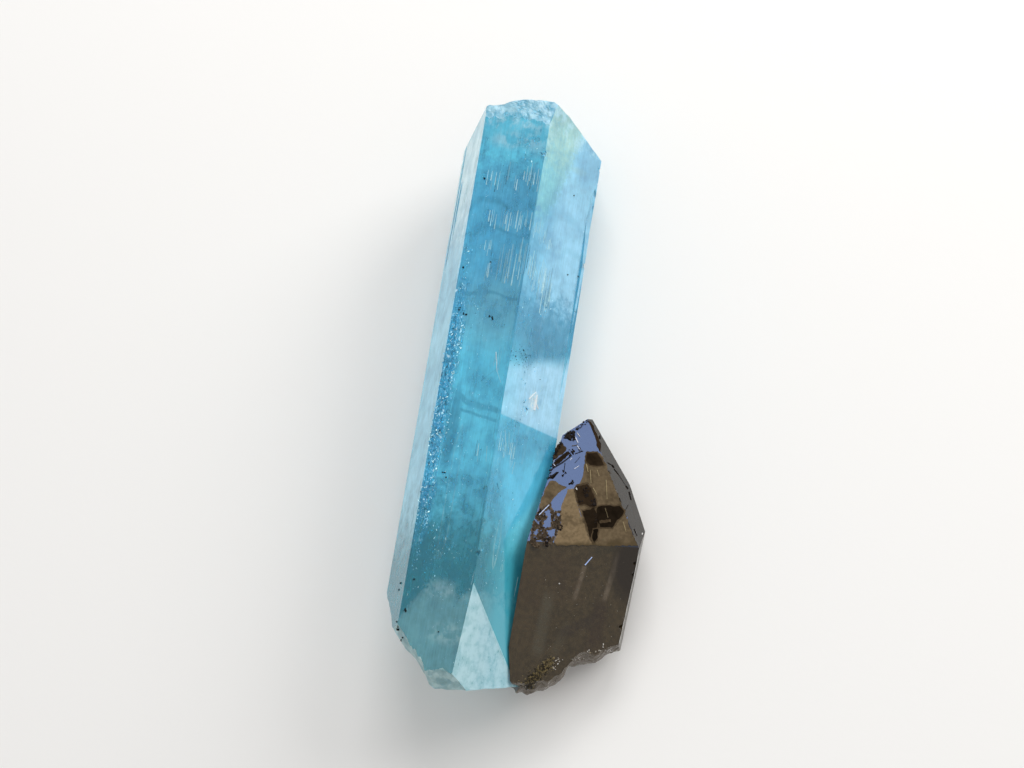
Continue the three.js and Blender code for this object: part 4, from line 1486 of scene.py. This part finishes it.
class CRYSTAL_OT_flakes(bpy.types.Operator):
    """Set the glittering flakes inside the aquamarine"""

    bl_idname = "crystal.flakes"
    bl_label = "Flakes"

    def execute(self, context):
        draw = random.Random(FLAKE_SEED)
        flakes = []

        def flake(place, small, large):
            reach = small + (large - small) * draw.random() ** 2
            size = (reach * draw.uniform(0.15, 0.5), 1.3 * reach, FLAKE_THICK)
            turn = (draw.gauss(0.0, 0.4), draw.gauss(0.0, 0.4), draw.gauss(0.0, 0.5))
            flakes.append((place, size, turn, draw.choice(FLAKE_SHADES)))

        for bands, put in ((TOP_FLAKE_BANDS, top_place), (RIGHT_FLAKE_BANDS, right_place)):
            for low, high, near, far, count, small, large in bands:
                for _ in range(count // FLAKES_PER_CLUSTER):
                    aside = near + (far - near) * draw.random() ** 1.3
                    middle = draw.uniform(low, high)
                    for _ in range(FLAKES_PER_CLUSTER):
                        place = put(
                            min(max(draw.gauss(aside, 0.28), near), far),
                            draw.gauss(middle, 0.55),
                            draw.choice(FLAKE_DEPTHS),
                        )
                        flake(place, small, large)
        material = inclusion_material("flake_glitter", FLAKE_TONES, 0.25)
        scattered("glitter_flakes", flakes, material, 5, 0.8)
        return {"FINISHED"}


class CRYSTAL_OT_specks(bpy.types.Operator):
    """Set the dark specks inside the aquamarine"""

    bl_idname = "crystal.specks"
    bl_label = "Dark specks"

    def execute(self, context):
        draw = random.Random(SPECK_SEED)
        specks = []

        def speck(place, reach):
            size = (reach, reach * draw.uniform(0.5, 0.9), reach * draw.uniform(0.6, 1.2))
            turn = tuple(draw.uniform(0, math.tau) for _ in range(3))
            specks.append((place, [SPECK_GROWTH * value for value in size], turn, 0.0))

        for found, put, count in ((TOP_SPECKS, top_place, 3), (RIGHT_SPECKS, right_place, 2)):
            for aside, y, reach in found:
                jitter = SPECK_JITTER * reach
                for _ in range(count):
                    place = put(
                        aside + draw.uniform(-jitter, jitter),
                        y + draw.uniform(-jitter, jitter),
                        draw.uniform(0.0, 0.05),
                    )
                    speck(place, reach * draw.uniform(0.4, 0.8))
        for _ in range(RIGHT_FINE_SPECKS):
            speck(
                right_place(draw.gauss(*FINE_SPECKS_DOWN), draw.gauss(*FINE_SPECKS_ALONG), 0.0),
                draw.uniform(*RIGHT_FINE_SIZES),
            )
        for _ in range(TOP_FINE_SPECKS):
            speck(
                top_place(
                    draw.uniform(*TOP_FINE_ACROSS), draw.uniform(*TOP_FINE_ALONG), draw.uniform(0.0, 0.04)
                ),
                draw.uniform(*TOP_FINE_SIZES),
            )
        solid = solid_tree("aquamarine")
        for column, row, reach in SPECKS_SEEN:
            speck(seen_at(solid, column, row)[0], reach)
        material = inclusion_material("speck_black", SPECK_TONES, 0.5, specular=0.05)
        scattered("dark_specks", specks, material, 5, 0.6)
        return {"FINISHED"}


def plate_mesh(name, plates):
    """Closed thin plates, each from an outline of places, a facing, a thickness in millimetres and a tone."""
    bm = bmesh.new()
    tones = bm.verts.layers.float.new("tone")
    for outline, facing, thick, tone in plates:
        ring = [bm.verts.new(place * MM) for place in outline]
        face = bm.faces.new(ring)
        face.normal_update()
        if face.normal.dot(facing) < 0:
            face.normal_flip()
        lifted = bmesh.ops.extrude_face_region(bm, geom=[face])
        moved = [item for item in lifted["geom"] if isinstance(item, bmesh.types.BMVert)]
        bmesh.ops.translate(bm, verts=moved, vec=facing.normalized() * thick * MM)
        for vertex in (*ring, *moved):
            vertex[tones] = tone
    bmesh.ops.recalc_face_normals(bm, faces=bm.faces)
    bmesh.ops.triangulate(bm, faces=bm.faces)
    mesh = bpy.data.meshes.new(name)
    bm.to_mesh(mesh)
    bm.free()
    return mesh


def grown(corners, margin):
    """An outline moved outward from its middle by a margin."""
    middle = sum((Vector(corner) for corner in corners), Vector((0.0, 0.0))) / len(corners)
    spokes = [Vector(corner) - middle for corner in corners]
    return tuple(tuple(middle + spoke + spoke.normalized() * margin) for spoke in spokes)


def ragged(corners, draw):
    """An outline through the corners with extra points that wander off its straight sides."""
    outline = []
    for first, second in zip(corners, corners[1:] + corners[:1]):
        span = math.dist(first, second)
        count = max(1, round(span / PLATE_STEP))
        for index in range(count):
            share = index / count
            loose = PLATE_WANDER if index else 0.0
            outline.append(
                (
                    first[0] + share * (second[0] - first[0]) + draw.uniform(-loose, loose),
                    first[1] + share * (second[1] - first[1]) + draw.uniform(-loose, loose),
                )
            )
    return outline


class CRYSTAL_OT_quartz_crust(bpy.types.Operator):
    """Lay the golden plates of painted reflection and the dark plates of painted shade, the brown crust and
    the black grains on the quartz tip
    """

    bl_idname = "crystal.quartz_crust"
    bl_label = "Quartz crust"

    def execute(self, context):
        draw = random.Random(CRUST_SEED)
        rims = [
            (grown(corners, RIM_MARGIN), RIM_TONE, level - RIM_DROP) for corners, _, level in SHADED_COVERS
        ]
        plates = [
            (
                [on_tip(*corner, PLATE_LIFT * level) for corner in ragged(corners, draw)],
                TIP_NORMAL,
                PLATE_THICK,
                tone,
            )
            for corners, tone, level in (*TIP_COVERS, *rims, *SHADED_COVERS)
        ]
        brown, black = [], []
        for _ in range(CRUST_COUNT):
            place = on_tip(*place_in(CRUST_REGION, CRUST_HOLES, draw))
            reach = draw.uniform(*CRUST_SIZES)
            size = (reach, reach * draw.uniform(0.5, 0.9), CRUST_THICK)
            brown.append((place, size, tip_turn(draw.uniform(0, math.tau)), draw.random()))
        for outline, count, small, large in BLACK_PATCHES:
            for _ in range(count):
                reach = draw.uniform(small, large)
                size = (reach, reach * draw.uniform(0.4, 0.8), 0.5 * reach)
                place = on_tip(*place_in(outline, (), draw), GRAIN_LIFT)
                black.append((place, size, tip_turn(draw.uniform(0, math.tau)), draw.random()))
        solid = solid_tree("smoky_quartz")
        needles_and_highlights = [needle(solid, *values, NEEDLE_LIFT) for values in NEEDLES_AND_HIGHLIGHTS]
        downward = (on_tip(*SHOULDER_RIGHT) - on_tip(*SHOULDER_LEFT)).cross(TIP_NORMAL).normalized()
        shoulder = (downward, downward.dot(on_tip(*SHOULDER_LEFT)), SHOULDER_REACH, SHOULDER_TINT)
        gold = inclusion_material("tip_reflection_and_shade", GOLD_TONES, 0.5, specular=0.0, shoulder=shoulder)
        rust = inclusion_material("crust_brown", RUST_TONES, 0.65, specular=0.05)
        soot = inclusion_material("grain_black", SOOT_TONES, 0.5, specular=0.05)
        pale = inclusion_material("needle_and_highlight", NEEDLE_AND_HIGHLIGHT_TONES, 0.4, specular=0.05)
        piece("quartz_plates", plate_mesh("quartz_plates", plates), gold)
        scattered("quartz_crust", brown, rust, 6, 0.85)
        scattered("quartz_grains", black, soot, 5, 0.55)
        scattered("quartz_needle_and_highlight_strokes", needles_and_highlights, pale, 5, 0.7)
        return {"FINISHED"}


class CRYSTAL_OT_quartz_dust(bpy.types.Operator):
    """Scatter the fine chips on the quartz body and along its broken end, with painted glints of highlight on
    the break
    """

    bl_idname = "crystal.quartz_dust"
    bl_label = "Quartz dust"

    def execute(self, context):
        draw = random.Random(DUST_SEED)
        solid = solid_tree("smoky_quartz")
        chips = []

        def chip(column, row, small, large, tone):
            seen = seen_at(solid, column, row)
            if seen is None:
                return
            place, normal = seen
            reach = small + (large - small) * draw.random() ** 2
            size = (reach, reach * draw.uniform(0.4, 0.9), 0.3 * reach)
            lay = normal.to_track_quat("Z", "Y").to_matrix()
            turn = tuple((lay @ Matrix.Rotation(draw.uniform(0, math.tau), 3, "Z")).to_euler())
            chips.append((place, size, turn, tone))

        for start, end, spread, count, small, large, tones in DUST_AND_GLINT_LINES:
            for _ in range(count):
                share = draw.random()
                column = start[0] + share * (end[0] - start[0]) + draw.gauss(0, spread)
                row = start[1] + share * (end[1] - start[1]) + draw.gauss(0, spread)
                chip(column, row, small, large, draw.choice(tones))
        upper_left, upper_right, lower_right, lower_left = (Vector(corner) for corner in DUST_CORNERS)
        for _ in range(DUST_COUNT):
            aside, down = draw.random(), draw.random()
            spot_place = upper_left.lerp(upper_right, aside).lerp(lower_left.lerp(lower_right, aside), down)
            chip(*spot_place, *FINE_DUST, draw.uniform(*FINE_DUST_TONES))
        material = inclusion_material("dust_and_glints", DUST_AND_GLINT_TONES, 0.3)
        scattered("quartz_dust_and_glints", chips, material, 5, 0.6)
        return {"FINISHED"}


def area_light(name, place, size, power, colour):
    light = bpy.data.lights.new(name, "AREA")
    light.shape = "RECTANGLE"
    light.size, light.size_y = size
    light.energy = power
    light.color = colour
    obj = bpy.data.objects.new(name, light)
    obj.location = place
    obj.rotation_euler = Vector(place).to_track_quat("Z", "Y").to_euler()
    bpy.context.scene.collection.objects.link(obj)
    return obj


def sky_panel(power):
    """A cool panel whose straight edge crosses the mirror image in the quartz tip."""
    panel = area_light("sky_panel", SKY_PANEL_PLACE * MM, SKY_PANEL_SIZE, power, SKY_PANEL_COLOUR)
    facing = SKY_PANEL_FACING.normalized()
    side = SKY_PANEL_EDGE.cross(facing).normalized()
    if side.x < 0:
        side = -side
    upright = facing.cross(side)
    panel.visible_diffuse = False
    middle = SKY_PANEL_PLACE * MM - side * SKY_PANEL_SIZE[0] / 2
    turn = Matrix((side, upright, facing)).transposed()
    panel.matrix_world = Matrix.Translation(middle) @ turn.to_4x4()


class CRYSTAL_OT_stage(bpy.types.Operator):
    """Set the floor, the lights and the camera"""

    bl_idname = "crystal.stage"
    bl_label = "Stage"

    def execute(self, context):
        settings = context.scene.crystal_stage
        scene = context.scene
        bm = bmesh.new()
        bmesh.ops.create_circle(bm, cap_ends=True, segments=64, radius=FLOOR_RADIUS)
        floor_mesh = bpy.data.meshes.new("floor")
        bm.to_mesh(floor_mesh)
        bm.free()
        material, tree = new_material("floor_paper")
        place = places(tree)
        fibre = stretched_noise(tree, place, (0.9, 0.9, 0.9), 5.0)
        bump = add(tree, "ShaderNodeBump", {"Strength": 0.05, "Distance": PAPER_RELIEF, "Height": fibre})
        paper = add(
            tree,
            "ShaderNodeBsdfPrincipled",
            {
                "Base Color": (*settings.floor_colour, 1),
                "Roughness": 0.9,
                "Specular IOR Level": 0.1,
                "Normal": bump.outputs[0],
            },
        )
        add(tree, "ShaderNodeOutputMaterial", {"Surface": paper.outputs[0]})
        floor_mesh.materials.append(material)
        floor = bpy.data.objects.new("floor", floor_mesh)
        floor.location.z = -FLOOR_DROP
        scene.collection.objects.link(floor)

        world = bpy.data.worlds.new("studio")
        scene.world = world
        world.use_nodes = True
        tree = world.node_tree
        tree.nodes.clear()
        direction = add(tree, "ShaderNodeTexCoord").outputs["Generated"]
        height = add(tree, "ShaderNodeSeparateXYZ", {0: direction}).outputs["Z"]
        colour = blend_colour(tree, ramp(tree, height, *SKY_FADE), HORIZON_COLOUR, ZENITH_COLOUR)
        sky = add(tree, "ShaderNodeBackground", {"Color": colour, "Strength": 1.0})
        add(tree, "ShaderNodeOutputWorld", {"Surface": sky.outputs[0]})

        area_light("key", KEY_PLACE, KEY_SIZE, settings.key_power, KEY_COLOUR)
        area_light("fill", FILL_PLACE, FILL_SIZE, settings.fill_power, FILL_COLOUR)
        sky_panel(settings.sky_power)

        camera = bpy.data.cameras.new("camera")
        camera.lens = CAMERA_LENS
        camera.sensor_width = SENSOR_WIDTH
        camera.sensor_fit = "HORIZONTAL"
        camera.clip_start, camera.clip_end = CAMERA_CLIP
        obj = bpy.data.objects.new("camera", camera)
        turn = Matrix((CAMERA_RIGHT, CAMERA_UP, CAMERA_BACK)).transposed()
        obj.matrix_world = Matrix.Translation(CAMERA_PLACE * MM) @ turn.to_4x4()
        scene.collection.objects.link(obj)
        scene.camera = obj
        scene.cycles.max_bounces = 24
        scene.cycles.glossy_bounces = 12
        scene.cycles.transmission_bounces = 24
        scene.view_settings.view_transform = "Standard"
        scene.view_settings.look = "None"
        return {"FINISHED"}


class CRYSTAL_PT_panel(bpy.types.Panel):
    bl_idname = "CRYSTAL_PT_panel"
    bl_label = "Crystal"
    bl_space_type = "VIEW_3D"
    bl_region_type = "UI"
    bl_category = "Crystal"

    def draw(self, context):
        for operator in OPERATORS:
            self.layout.operator(operator.bl_idname)


OPERATORS = (
    CRYSTAL_OT_aquamarine,
    CRYSTAL_OT_quartz,
    CRYSTAL_OT_growth_tubes,
    CRYSTAL_OT_flakes,
    CRYSTAL_OT_specks,
    CRYSTAL_OT_quartz_crust,
    CRYSTAL_OT_quartz_dust,
    CRYSTAL_OT_stage,
)
SETTINGS = {
    "crystal_aquamarine": AquamarineSettings,
    "crystal_quartz": QuartzSettings,
    "crystal_stage": StageSettings,
}


def register():
    for cls in (*SETTINGS.values(), *OPERATORS, CRYSTAL_PT_panel):
        bpy.utils.register_class(cls)
    for name, cls in SETTINGS.items():
        setattr(bpy.types.Scene, name, bpy.props.PointerProperty(type=cls))


def unregister():
    for name in SETTINGS:
        delattr(bpy.types.Scene, name)
    for cls in reversed((*SETTINGS.values(), *OPERATORS, CRYSTAL_PT_panel)):
        bpy.utils.unregister_class(cls)


def main():
    register()
    for operator in OPERATORS:
        group, name = operator.bl_idname.split(".")
        getattr(getattr(bpy.ops, group), name)()
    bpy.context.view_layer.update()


if __name__ == "__main__":
    main()
